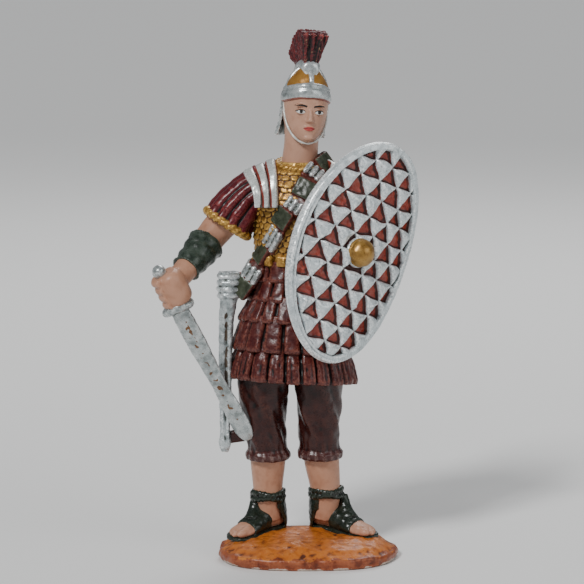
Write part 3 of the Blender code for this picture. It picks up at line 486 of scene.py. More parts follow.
# Paint
class Graph:
    """Makes and joins the nodes of one material or node group."""

    def __init__(self, tree: bpy.types.NodeTree) -> None:
        """Works in the given tree."""
        self.tree = tree

    def node(self, kind: str, settings: Optional[dict] = None, **inputs: Input) -> bpy.types.Node:
        """Adds a node.

        Args:
            kind: the node's type.
            settings: properties to set on it.
            inputs: values or sockets for its inputs, with an underscore for a space.

        Returns:
            The node.
        """
        made = self.tree.nodes.new(kind)
        for key, value in (settings or {}).items():
            setattr(made, key, value)
        for key, value in inputs.items():
            self.feed(made.inputs[key.replace("_", " ")], value)
        return made

    def feed(self, socket: bpy.types.NodeSocket, value: Input) -> None:
        """Joins a socket to another, or gives it a value.

        Args:
            socket: the input.
            value: what it gets.
        """
        if isinstance(value, bpy.types.NodeSocket):
            self.tree.links.new(value, socket)
        elif isinstance(value, tuple) and len(value) == 3 and socket.type == "RGBA":
            socket.default_value = (*value, 1)
        else:
            socket.default_value = value

    def math(self, operation: str, a: Input, b: Input = 0.0, clamp: bool = False) -> bpy.types.NodeSocket:
        """Adds a Math node.

        Args:
            operation: what it does.
            a: its first number.
            b: its second number.
            clamp: whether to keep the result from 0 to 1.

        Returns:
            The result's socket.
        """
        made = self.node("ShaderNodeMath", {"operation": operation, "use_clamp": clamp})
        self.feed(made.inputs[0], a)
        self.feed(made.inputs[1], b)
        return made.outputs[0]

    def ramp(self, value: Input, low: float, high: float, start: float = 0.0,
             end: float = 1.0) -> bpy.types.NodeSocket:
        """Adds a soft step in a value.

        Args:
            value: the value.
            low: where the step begins.
            high: where it ends.
            start: the result at low.
            end: the result at high.

        Returns:
            The result's socket.
        """
        made = self.node("ShaderNodeMapRange", {"interpolation_type": "SMOOTHSTEP"}, Value=value, From_Min=low,
                         From_Max=high, To_Min=start, To_Max=end)
        return made.outputs["Result"]

    def mix(self, share: Input, a: Input, b: Input) -> bpy.types.NodeSocket:
        """Mixes two colours.

        Args:
            share: how much of the second.
            a: the first.
            b: the second.

        Returns:
            The mix's socket.
        """
        made = self.node("ShaderNodeMix", {"data_type": "RGBA"})
        self.feed(made.inputs[0], share)
        self.feed(made.inputs[6], a)
        self.feed(made.inputs[7], b)
        return made.outputs[2]

    def blend(self, share: Input, a: Input, b: Input) -> bpy.types.NodeSocket:
        """Mixes two numbers.

        Args:
            share: how much of the second.
            a: the first.
            b: the second.

        Returns:
            The mix's socket.
        """
        made = self.node("ShaderNodeMix", {"data_type": "FLOAT"})
        self.feed(made.inputs[0], share)
        self.feed(made.inputs[2], a)
        self.feed(made.inputs[3], b)
        return made.outputs[0]

    def value(self, name: str) -> bpy.types.NodeSocket:
        """A number stored for each vertex of the piece."""
        return self.node("ShaderNodeAttribute", {"attribute_name": name}).outputs["Fac"]

    def place(self) -> bpy.types.NodeSocket:
        """The place on the piece."""
        return self.node("ShaderNodeTexCoord").outputs["Object"]

    def noise(self, size: float, detail: float = 2.0, shift: float = 0.0) -> bpy.types.NodeSocket:
        """Uneven patches, from 0 to 1.

        Args:
            size: breadth of a patch in millimetres.
            detail: how many finer layers it has.
            shift: moves the pattern.

        Returns:
            The pattern's value.
        """
        moved = self.node("ShaderNodeVectorMath", {"operation": "ADD"})
        self.feed(moved.inputs[0], self.place())
        moved.inputs[1].default_value = (shift, shift, shift)
        made = self.node("ShaderNodeTexNoise", Vector=moved.outputs[0], Scale=1 / (size * METRES), Detail=detail)
        return made.outputs["Fac"]


WORKED_INPUTS = (("Colour", "NodeSocketColor"), ("Wash", "NodeSocketColor"), ("Light", "NodeSocketColor"),
                 ("Speck", "NodeSocketColor"), ("Wash Amount", "NodeSocketFloat"),
                 ("Light Amount", "NodeSocketFloat"), ("Speck Amount", "NodeSocketFloat"),
                 ("Mottle", "NodeSocketFloat"), ("Roughness", "NodeSocketFloat"))


def worked_paint() -> bpy.types.NodeTree:
    """The group that works a coat of paint: wash and painted shade in hollows and under parts, dry brush on
    edges, specks and uneven tone.

    Returns:
        The node group, made once.
    """
    made = bpy.data.node_groups.get("worked_paint")
    if made:
        return made
    made = bpy.data.node_groups.new("worked_paint", "ShaderNodeTree")
    for name, kind in WORKED_INPUTS:
        made.interface.new_socket(name, in_out="INPUT", socket_type=kind)
    made.interface.new_socket("Colour", in_out="OUTPUT", socket_type="NodeSocketColor")
    made.interface.new_socket("Roughness", in_out="OUTPUT", socket_type="NodeSocketFloat")
    graph = Graph(made)
    given = graph.node("NodeGroupInput").outputs
    patches = graph.noise(1.6, 4.0)
    strokes = graph.noise(0.45, 3.0, 0.02)
    tone = graph.math("MULTIPLY", graph.ramp(patches, 0.35, 0.7), given["Mottle"])
    colour = graph.mix(tone, given["Colour"], given["Light"])
    shadow = graph.math("MULTIPLY", graph.ramp(patches, 0.5, 0.3), given["Mottle"])
    colour = graph.mix(shadow, colour, given["Wash"])
    # The dark wash: the painter's wash in the hollows, and painted shade where the rays meet other parts.
    deep = graph.math("ADD", graph.ramp(graph.value("broad"), 0.03, 0.22),
                      graph.ramp(graph.value("fine"), 0.006, 0.035))
    deep = graph.math("ADD", deep, graph.ramp(graph.value("shade"), 0.3, 0.75))
    deep = graph.math("MULTIPLY", deep, graph.ramp(strokes, 0.1, 0.6, 0.55, 1.15))
    deep = graph.math("MULTIPLY", deep, given["Wash Amount"], clamp=True)
    colour = graph.mix(deep, colour, given["Wash"])
    proud = graph.math("ADD", graph.ramp(graph.value("broad"), -0.04, -0.22),
                       graph.ramp(graph.value("fine"), -0.004, -0.03))
    proud = graph.math("MULTIPLY", proud, graph.ramp(strokes, 0.38, 0.62))
    proud = graph.math("MULTIPLY", proud, given["Light Amount"], clamp=True)
    colour = graph.mix(proud, colour, given["Light"])
    spots = graph.node("ShaderNodeTexVoronoi", Vector=graph.place(), Scale=1 / (1.1 * METRES))
    near = graph.ramp(spots.outputs["Distance"], 0.22, 0.1)
    some = graph.ramp(graph.node("ShaderNodeSeparateColor", Color=spots.outputs["Color"]).outputs[0], 0.5, 0.56)
    speck = graph.math("MULTIPLY", graph.math("MULTIPLY", near, some), given["Speck Amount"], clamp=True)
    colour = graph.mix(speck, colour, given["Speck"])
    rough = graph.math("ADD", given["Roughness"], graph.ramp(strokes, 0.2, 0.8, -0.06, 0.1))
    rough = graph.math("ADD", rough, graph.math("MULTIPLY", deep, 0.1), clamp=True)
    leaving = graph.node("NodeGroupOutput")
    graph.feed(leaving.inputs["Colour"], colour)
    graph.feed(leaving.inputs["Roughness"], rough)
    return made


@dataclass(frozen=True)
class Coat:
    """One colour of paint as the painter worked it."""

    colour: tuple
    # The wash colour serves both the painter's wash in hollows and the painted shade under and between parts.
    wash_and_shade: tuple
    light: tuple
    wash_and_shade_amount: float = 0.8
    light_amount: float = 0.5
    mottle: float = 0.25
    roughness: float = 0.42
    metallic: float = 0.0
    speck: tuple = (0.02, 0.015, 0.01)
    speck_amount: float = 0.0

    def lay(self, graph: Graph) -> bpy.types.Node:
        """Adds the coat to a material.

        Args:
            graph: the material's nodes.

        Returns:
            The coat's node.
        """
        return graph.node("ShaderNodeGroup", {"node_tree": worked_paint()}, Colour=self.colour, Wash=self.wash_and_shade,
                          Light=self.light, Speck=self.speck, Wash_Amount=self.wash_and_shade_amount,
                          Light_Amount=self.light_amount, Speck_Amount=self.speck_amount, Mottle=self.mottle,
                          Roughness=self.roughness)


VARNISH = (("Specular IOR Level", 0.36), ("Coat Weight", 0.08), ("Coat Roughness", 0.3))


@dataclass(frozen=True)
class Finish:
    """The paint of a piece: a first coat, and coats over it where a stored number is above a half."""

    name: str
    first: Coat
    over: tuple = ()
    brush: float = 0.05
    ragged: float = 0.12

    def material(self) -> bpy.types.Material:
        """Makes the material, where it isn't made yet.

        Returns:
            The material.
        """
        made = bpy.data.materials.get(self.name)
        if made:
            return made
        made = bpy.data.materials.new(self.name)
        made.use_nodes = True
        graph = Graph(made.node_tree)
        shader = made.node_tree.nodes["Principled BSDF"]
        under = self.first.lay(graph)
        colour, rough, metallic = under.outputs["Colour"], under.outputs["Roughness"], self.first.metallic
        for label, coat in self.over:
            upper = coat.lay(graph)
            wander = graph.ramp(graph.noise(0.5, 2.0, 0.05), 0.2, 0.8, -self.ragged, self.ragged)
            share = graph.ramp(graph.math("ADD", graph.value(label), wander), 0.42, 0.58)
            colour = graph.mix(share, colour, upper.outputs["Colour"])
            rough = graph.blend(share, rough, upper.outputs["Roughness"])
            if metallic != coat.metallic:
                metallic = graph.blend(share, metallic, coat.metallic)
        graph.feed(shader.inputs["Base Color"], colour)
        graph.feed(shader.inputs["Roughness"], rough)
        graph.feed(shader.inputs["Metallic"], metallic)
        for name, value in VARNISH:
            shader.inputs[name].default_value = value
        height = graph.math("ADD", graph.noise(0.35, 3.0), graph.math("MULTIPLY", graph.noise(1.2, 2.0), 1.5))
        bump = graph.node("ShaderNodeBump", Height=height, Strength=0.5, Distance=self.brush * METRES)
        graph.feed(shader.inputs["Normal"], bump.outputs["Normal"])
        return made


MAROON = Coat((0.060, 0.0075, 0.0080), (0.004, 0.001, 0.001), (0.20, 0.060, 0.040), 1.35, 0.42, 0.2, 0.3)
DARK_MAROON = Coat((0.026, 0.0050, 0.0042), (0.003, 0.001, 0.001), (0.085, 0.024, 0.015), 1.0, 0.4, 0.25, 0.28)
GOLD = Coat((0.35, 0.172, 0.031), (0.050, 0.018, 0.006), (0.76, 0.47, 0.12), 1.5, 0.6, 0.3, 0.3, 0.45)
DOME_GOLD = Coat((0.34, 0.155, 0.024), (0.12, 0.05, 0.012), (0.50, 0.28, 0.07), 0.6, 0.3, 0.3, 0.33, 0.35)
SILVER = Coat((0.35, 0.39, 0.39), (0.045, 0.050, 0.038), (0.93, 0.95, 0.94), 1.2, 0.75, 0.34, 0.25, 0.5,
              (0.07, 0.045, 0.025), 0.45)
BRICK = Coat((0.26, 0.030, 0.018), (0.035, 0.008, 0.006), (0.42, 0.10, 0.06), 0.8, 0.3, 0.3, 0.3)
LEATHER = Coat((0.019, 0.031, 0.021), (0.003, 0.004, 0.003), (0.12, 0.15, 0.12), 0.9, 0.5, 0.3, 0.26)
SANDAL = Coat((0.010, 0.015, 0.010), (0.002, 0.003, 0.002), (0.055, 0.075, 0.055), 0.9, 0.3, 0.2, 0.24)
FLESH = Coat((0.47, 0.235, 0.145), (0.22, 0.075, 0.038), (0.60, 0.34, 0.24), 0.6, 0.3, 0.2, 0.4)
EARTH = Coat((0.46, 0.120, 0.013), (0.085, 0.020, 0.008), (0.56, 0.20, 0.04), 0.75, 0.4, 0.45, 0.38, 0.0,
             (0.012, 0.014, 0.006), 0.45)


# Ground base
@dataclass
class GroundBase:
    """The uneven slab of ground under the soldier's feet."""

    length: float = 38.8
    depth: float = 28.4
    edge: float = 2.4
    crown: float = 5.0
    rings: tuple = ((0.95, 0.0), (0.985, 0.12), (1.0, 0.35), (1.0, 0.6), (0.985, 0.85), (0.94, 1.0))
    sides: int = 216
    top_rows: int = 44
    rows: int = 64
    side_share: float = 0.25
    side: Coat = Coat((0.20, 0.036, 0.010), (0.05, 0.012, 0.006), (0.42, 0.13, 0.05), 0.6, 0.3, 0.5, 0.34)
    chip: Coat = Coat((0.48, 0.36, 0.30), (0.2, 0.1, 0.06), (0.6, 0.52, 0.45), 0.3, 0.3, 0.4, 0.6)

    def outline(self, angle: Array) -> Array:
        """How far the uneven edge stands out from a true oval.

        Args:
            angle: angles round the slab.

        Returns:
            A factor for each.
        """
        corner = 0.05 * (np.sin(2 * angle) ** 2 - 0.3) * np.where(np.sin(2 * angle) < 0, 1.35, 0.9)
        return 1 + corner + 0.012 * np.sin(3 * angle + 2.0) + 0.008 * np.sin(5 * angle + 0.5)

    def surface(self, u: Array, w: Array) -> Array:
        """The slab's skin, from the rim of its underside up and over to its middle.

        Args:
            u: shares round.
            w: shares along.

        Returns:
            A row of coordinates for each.
        """
        side_rows = len(self.rings) - 1
        t = w * (side_rows + self.top_rows)
        edge = np.asarray(self.rings)
        share = np.interp(t, range(side_rows + 1), edge[:, 0])
        height = np.interp(t, range(side_rows + 1), edge[:, 1]) * self.edge
        inward = np.clip((t - side_rows) / self.top_rows, 0, 1)
        share = np.where(t > side_rows, share * (1 - inward * 0.99), share)
        dome = self.crown - (self.crown - self.edge) * share ** 4 - 0.53 * (1 - step(inward, 0, 0.15))
        height = np.where(t > side_rows, np.minimum(dome, self.crown), height)
        reach = share * self.outline(TURN * u)
        return np.stack([self.length / 2 * reach * np.cos(TURN * u), self.depth / 2 * reach * np.sin(TURN * u),
                         height - SOLES], 1)

    def build(self) -> None:
        """Makes the slab, with dabbed lumps on its top and chipped paint on its front edge."""
        side_rows = len(self.rings) - 1
        turn = side_rows / (side_rows + self.top_rows)

        def skin(u: Array, w: Array) -> Array:
            """The slab's points, with rows enough on its low side.

            Args:
                u: shares round.
                w: shares along.

            Returns:
                A row of coordinates for each.
            """
            low = w / self.side_share * turn
            high = turn + (w - self.side_share) / (1 - self.side_share) * (1 - turn)
            return self.surface(u, np.where(w < self.side_share, low, high))

        sculpt = Sculpt()
        sculpt.wrap(skin, self.sides, self.rows)
        mesh = sculpt.plain()
        points = read_points(mesh)
        level = points[:, 2] + SOLES
        free = step(level, 0.05, 0.9)
        normals = read_normals(mesh)
        rough = 0.26 * lumps(points, 4.2) + 0.13 * lumps(points, 1.7, 3.1) + 0.05 * lumps(points, 0.8, 5.3)
        front_lip = 0.35 * step(-points[:, 1], 6, 12) * np.exp(-((level - 2.2) / 0.8) ** 2)
        points += normals * column(free * (rough - 0.12 + front_lip))
        points[:, 2] = np.maximum(points[:, 2], -SOLES)
        write_points(mesh, points)
        wander = lumps(points, 2.5, 8.0)
        write_value(mesh, "side", step(2.3 + 0.5 * wander - level, -0.5, 0.5))
        chip = step(0.42 + 0.35 * wander - level, -0.1, 0.1) * (points[:, 1] < 0) * step(wander, -0.3, 0.2)
        write_value(mesh, "chip", chip * (level > 0.01))
        over = (("side", self.side), ("chip", self.chip))
        finish_piece("ground_base", mesh, Finish("painted_ground", EARTH, over, 0.1, 0.4))


# Feet and sandals
@dataclass
class SandalledFoot:
    """One foot with its toes and calf, and its open leather sandal."""

    name: str
    heel: tuple
    toe: tuple
    ankle: tuple
    calf: tuple
    inner: int
    slope: float = 0.10
    foot_stations: tuple = (
        (-0.10, 1.3, 1.3, 0.9), (0.0, 1.9, 2.0, 1.8), (0.22, 2.0, 2.6, 2.4), (0.45, 2.2, 2.1, 2.0),
        (0.70, 2.7, 1.4, 1.3), (0.88, 2.6, 1.1, 0.85), (0.97, 1.9, 0.95, 0.5))
    sole_stations: tuple = ((-0.17, 0.9), (-0.08, 2.0), (0.3, 2.3), (0.70, 3.15), (0.92, 3.0), (1.03, 1.7))
    vamp_stations: tuple = ((0.26, 2.25, 2.7, 2.75), (0.45, 2.5, 2.2, 2.35), (0.60, 2.8, 1.75, 1.85),
                            (0.70, 2.95, 1.45, 1.5))
    toes: tuple = ((-1.75, 0.91, 1.0), (-0.55, 0.98, 0.72), (0.35, 0.96, 0.68), (1.2, 0.91, 0.62),
                   (1.95, 0.83, 0.58))
    instep_strap: tuple = ((0.36, 1.5, 7.3, 1.0), (0.40, 1.2, 5.8, 1.25), (0.46, 0.7, 4.0, 1.6),
                           (0.56, 0.2, 2.6, 1.9))
    sole_thickness: float = 1.0
    grain: float = 0.24
    skin: Finish = Finish("painted_skin", FLESH)
    leather: Finish = Finish("painted_sandal", SANDAL, (), 0.06)

    def place(self, share: Array, side: Array, height: Array) -> Array:
        """Places points on the foot.

        Args:
            share: shares of its length.
            side: how far aside they lie.
            height: how far above the sole they lie.

        Returns:
            A row of coordinates for each.
        """
        heel = np.array(self.heel)
        ahead = np.array(self.toe) - heel
        length = np.linalg.norm(ahead)
        ahead = ahead / length
        aside = np.array([ahead[1], -ahead[0]])
        spot = heel + column(share) * ahead * length + column(side) * aside
        return np.stack([spot[:, 0], spot[:, 1], height + self.slope * (spot[:, 1] - 2.5)], 1)

    def spot(self, share: float, side: float, height: float) -> Array:
        """One point of the foot, placed in the same way."""
        return self.place(np.array([share]), np.array([side]), np.array([height]))[0]

    def upper(self, stations: tuple, grow: float = 0.0) -> Surface:
        """A skin over the foot.

        Args:
            stations: rows of share of the length, half width, middle and rise.
            grow: how far the skin stands out past them.

        Returns:
            The surface.
        """
        def surface(u: Array, w: Array) -> Array:
            """The skin's points.

            Args:
                u: shares round.
                w: shares along.

            Returns:
                A row of coordinates for each.
            """
            share, half, middle, rise = swept(stations, w)
            angle = TURN * u
            return self.place(share, (half + grow) * np.cos(angle), middle + (rise + grow) * np.sin(angle))

        return surface

    def build_skin(self) -> None:
        """Makes the bare foot, its toes and the calf."""
        sculpt = Sculpt()
        sculpt.wrap(self.upper(self.foot_stations), 40, 48)
        sculpt.wrap(limb_rings(self.calf), 48, 30)
        heading = math.atan2(self.toe[1] - self.heel[1], self.toe[0] - self.heel[0])
        for side, share, size in self.toes:
            centre = self.spot(share, -side * self.inner, 0.55 + size * 0.8)
            radii = (size * 1.55, size * 0.9, size * 0.9)
            sculpt.ball(centre, radii, Matrix.Rotation(heading, 3, "Z"))
            root = self.spot(share - 0.12, -side * self.inner * 0.92, 0.95 + size * 0.8)
            sculpt.ball(root, radii, Matrix.Rotation(heading, 3, "Z"))
        finish_piece(f"{self.name}_leg_and_foot", sculpt.melted(self.grain, 2), self.skin)

    def build_sandal(self) -> None:
        """Makes the sole, the strap over the instep, the heel strap and the wound ankle strap."""
        sculpt = Sculpt()

        def sole(u: Array, w: Array) -> Array:
            """The sole's points, nearly square in section.

            Args:
                u: shares round.
                w: shares along.

            Returns:
                A row of coordinates for each.
            """
            share, half = swept(self.sole_stations, w)
            angle = TURN * u
            side = np.sign(np.cos(angle)) * np.abs(np.cos(angle)) ** 0.35
            up = np.sign(np.sin(angle)) * np.abs(np.sin(angle)) ** 0.35
            return self.place(share, half * side, self.sole_thickness * (0.5 * up + 0.12))

        sculpt.wrap(sole, 32, 50)
        sculpt.wrap(self.upper(self.vamp_stations, 0.12), 40, 30)
        share, side, height, radius = (np.array(row) for row in zip(*self.instep_strap))
        centres = self.place(share, -side * self.inner, height)
        sculpt.wrap(limb_rings([(*spot, r) for spot, r in zip(centres, radius)]), 24, 24)
        x, y, z = self.ankle
        cup_low = self.spot(-0.02, 0.0, 0.6)
        back = unit(np.array([self.heel[0] - self.toe[0], self.heel[1] - self.toe[1]]))
        facing = math.atan2(back[1], back[0])

        def heel_strap(u: Array, w: Array) -> Array:
            """The points of the strap that is bent round the heel.

            Args:
                u: shares round.
                w: shares along.

            Returns:
                A row of coordinates for each.
            """
            bend = (w - 0.5) * 2
            angle = facing + bend * math.radians(98)
            low = 0.6 + 4.2 * step(np.abs(bend), 0.55, 1.0)
            high = z - 0.2
            level = (low + high) / 2 + (high - low) / 2 * np.sin(TURN * u)
            share = np.clip((level - 1.0) / (high - 1.0), 0, 1)
            radius = 3.0 + 0.35 * share + 0.42 * np.cos(TURN * u)
            cx = (1 - share) * (cup_low[0] - back[0] * 1.4) + share * x
            cy = (1 - share) * (cup_low[1] - back[1] * 1.4) + share * y
            return np.stack([cx + radius * np.cos(angle), cy + radius * np.sin(angle), level], 1)

        sculpt.wrap(heel_strap, 28, 50)
        for turn, drop in enumerate((-0.55, 0.5)):
            ring = []
            for k in range(33):
                angle = TURN * k / 32 + turn
                wave = 0.22 * math.sin(3 * angle + turn * 2.0)
                ring.append((x + 3.25 * math.cos(angle), y + 3.3 * math.sin(angle), z + drop + wave, 0.62))
            cord = limb_rings(ring, lambda u, w: 0.09 * np.sin(TURN * (u * 2 + w * 22)), (0, 0, 1))
            sculpt.wrap(cord, 20, 130)
        knot = (x + 0.5 * self.inner, y - 3.5, z - 0.2)
        sculpt.ball(knot, (0.9, 0.6, 0.8))
        for side in (-1, 1):
            lump = self.spot(0.42 + 0.16 * side, -2.3 * self.inner, -0.1)
            sculpt.ball(lump, (0.9, 0.7, 0.75))
        mesh = sculpt.melted(0.19, 2)
        uneven(mesh, 0.07, 0.9, 2.0)
        finish_piece(f"{self.name}_sandal", mesh, self.leather)

    def build(self) -> None:
        """Makes the foot and then the sandal."""
        self.build_skin()
        self.build_sandal()


RIGHT_FOOT = SandalledFoot("right", (-6.6, 6.6), (-15.6, -2.0), (-8.3, 4.6, 7.9), (
    (-8.1, 5.0, 2.4, 2.5), (-8.3, 4.7, 6.5, 2.9), (-8.35, 4.2, 11.0, 3.3), (-8.3, 3.4, 15.5, 3.75),
    (-8.3, 2.7, 20.0, 3.9)), -1)
LEFT_FOOT = SandalledFoot("left", (3.0, 6.9), (14.0, -0.9), (4.15, 4.7, 8.5), (
    (3.9, 5.1, 2.6, 2.5), (4.15, 4.7, 7.0, 3.0), (3.8, 4.2, 11.0, 3.35), (3.2, 3.4, 15.5, 3.75),
    (2.85, 2.7, 20.0, 3.9)), 1)


# Trousers
@dataclass
class Trousers:
    """Loose trousers that end in a rolled hem below the knee."""

    legs: tuple = (
        ((-8.3, 2.7, 16.0, 3.9, 4.1), (-8.3, 2.7, 16.2, 4.6, 4.8), (-8.3, 2.7, 17.2, 4.75, 5.0),
         (-8.4, 2.6, 18.6, 4.2, 4.4), (-8.9, 2.5, 22.5, 4.3, 4.6), (-9.2, 2.4, 26.5, 4.75, 5.1),
         (-9.2, 2.5, 31.0, 5.3, 5.7), (-8.6, 2.6, 36.0, 5.4, 6.2)),
        ((2.85, 2.7, 16.2, 3.9, 4.1), (2.85, 2.7, 16.4, 4.6, 4.8), (2.85, 2.7, 17.5, 4.85, 5.1),
         (2.8, 2.6, 18.9, 4.3, 4.5), (2.65, 2.5, 23.0, 4.35, 4.7), (2.55, 2.4, 26.5, 4.55, 5.1),
         (2.3, 2.5, 31.0, 4.95, 5.6), (2.2, 2.6, 36.0, 5.3, 6.2)))
    hem: float = 18.4
    finish: Finish = Finish("painted_trousers", DARK_MAROON, (("hem", Coat(
        (0.050, 0.009, 0.008), (0.01, 0.004, 0.003), (0.30, 0.20, 0.17), 0.9, 0.4, 0.1, 0.28)),))

    def build(self) -> None:
        """Makes both legs, with soft folds above the hems."""
        sculpt = Sculpt()
        for k, stations in enumerate(self.legs):
            def folds(u: Array, w: Array, k: int = k) -> Array:
                """How far the folds of a leg stand out.

                Args:
                    u: shares round.
                    w: shares along.
                    k: the leg's number.

                Returns:
                    A number for each.
                """
                above = step(w, 0.36, 0.6)
                lean = u * TURN + 2.2 * w + k
                return above * (0.20 * np.sin(5 * lean) + 0.14 * np.sin(8 * lean + 9 * w)
                                + 0.16 * np.sin(3 * lean - 16 * w)) + 0.08 * (1 - above) * np.sin(TURN * 17 * u)

            sculpt.wrap(level_rings(stations, relief=folds), 100, 84)
        mesh = sculpt.plain()
        points = read_points(mesh)
        points += read_normals(mesh) * column(0.10 * lumps(points, 1.6, 4.0))
        write_points(mesh, points)
        write_value(mesh, "hem", step(self.hem + 0.15 * lumps(points, 1.0) - points[:, 2], -0.3, 0.3))
        finish_piece("trousers", mesh, self.finish, broad=12)


# Skirt
@dataclass
class SkirtTier:
    """One row of straps: its heights, its half widths and half depths there, and the straps' shape."""

    top: float
    bottom: float
    upper: tuple
    lower: tuple
    straps: int
    shift: float
    ridges: float = 0.0
    drop: float = 0.5


@dataclass
class StrapSkirt:
    """A skirt of five tiers of leather straps."""

    middle: tuple = (-3.0, 3.0)
    tilt: tuple = (0.05, 0.09)
    tiers: tuple = (
        SkirtTier(58.3, 54.0, (7.2, 5.5), (8.3, 6.8), 12, 0.2, 0.0, 0.6),
        SkirtTier(55.0, 49.9, (7.3, 5.8), (9.7, 8.0), 16, 0.55, 0.0, 0.7),
        SkirtTier(51.0, 45.6, (8.6, 7.0), (11.7, 9.4), 18, 0.3, 0.0, 0.6),
        SkirtTier(47.0, 39.3, (10.4, 8.2), (13.1, 10.5), 20, 0.7, 0.0, 0.25),
        SkirtTier(41.5, 33.0, (11.6, 9.0), (13.8, 11.2), 22, 0.1, 1.0, 0.2))
    thickness: float = 1.3
    finish: Finish = Finish("painted_straps", MAROON, (), 0.07)

    def tier_surface(self, tier: SkirtTier) -> Surface:
        """The skin of one tier: its outside, its lower edge and a little of its inside.

        Args:
            tier: the tier.

        Returns:
            The surface.
        """
        def surface(u: Array, w: Array) -> Array:
            """The tier's points.

            Args:
                u: shares round.
                w: shares along.

            Returns:
                A row of coordinates for each.
            """
            across = (u * tier.straps + tier.shift + 0.18 * np.sin(TURN * u * 3 + tier.top)) % 1.0 * 2 - 1
            pillow = 1 - np.abs(across) ** 3.6
            gap = step(np.abs(across), 0.74, 0.98)
            down = np.clip(w / 0.72, 0, 1)
            turn_in = np.clip((w - 0.72) / 0.28, 0, 1)
            z = tier.top + (tier.bottom - tier.top) * down
            z = z - tier.drop * (pillow - 0.6) * down ** 2 + 1.6 * turn_in ** 2
            rx = tier.upper[0] + (tier.lower[0] - tier.upper[0]) * down
            ry = tier.upper[1] + (tier.lower[1] - tier.upper[1]) * down
            rise = 0.38 * pillow - 1.25 * gap * step(down, 0.05, 0.3)
            rise = rise - 0.45 * step(down, 0.86, 1.0) ** 2 - self.thickness * np.sin(turn_in * math.pi / 2)
            grooves = np.cos(across * 2.6 * math.pi + np.sin(TURN * u * 5))
            rise = rise + 0.11 * tier.ridges * grooves * (1 - gap) * step(down, 0.3, 0.5)
            rise = rise - 0.5 * tier.ridges * (1 - step(down, 0.25, 0.48)) * (0.4 + 0.6 * np.abs(across))
            dx = (rx + rise) * np.cos(TURN * u)
            dy = (ry + rise) * np.sin(TURN * u)
            return np.stack([self.middle[0] + dx, self.middle[1] + dy,
                             z - self.tilt[0] * dx - self.tilt[1] * dy], 1)

        return surface

    def build(self) -> None:
        """Makes the tiers from the lowest to the highest."""
        sculpt = Sculpt()
        for tier in self.tiers:
            rows = round((tier.top - tier.bottom) * 4)
            sculpt.wrap(self.tier_surface(tier), tier.straps * 12, rows)
        mesh = sculpt.plain()
        points = read_points(mesh)
        points += read_normals(mesh) * column(0.10 * lumps(points, 1.5, 1.0) + 0.04 * lumps(points, 0.6, 6.0))
        write_points(mesh, points)
        finish_piece("strap_skirt", mesh, self.finish, broad=10)


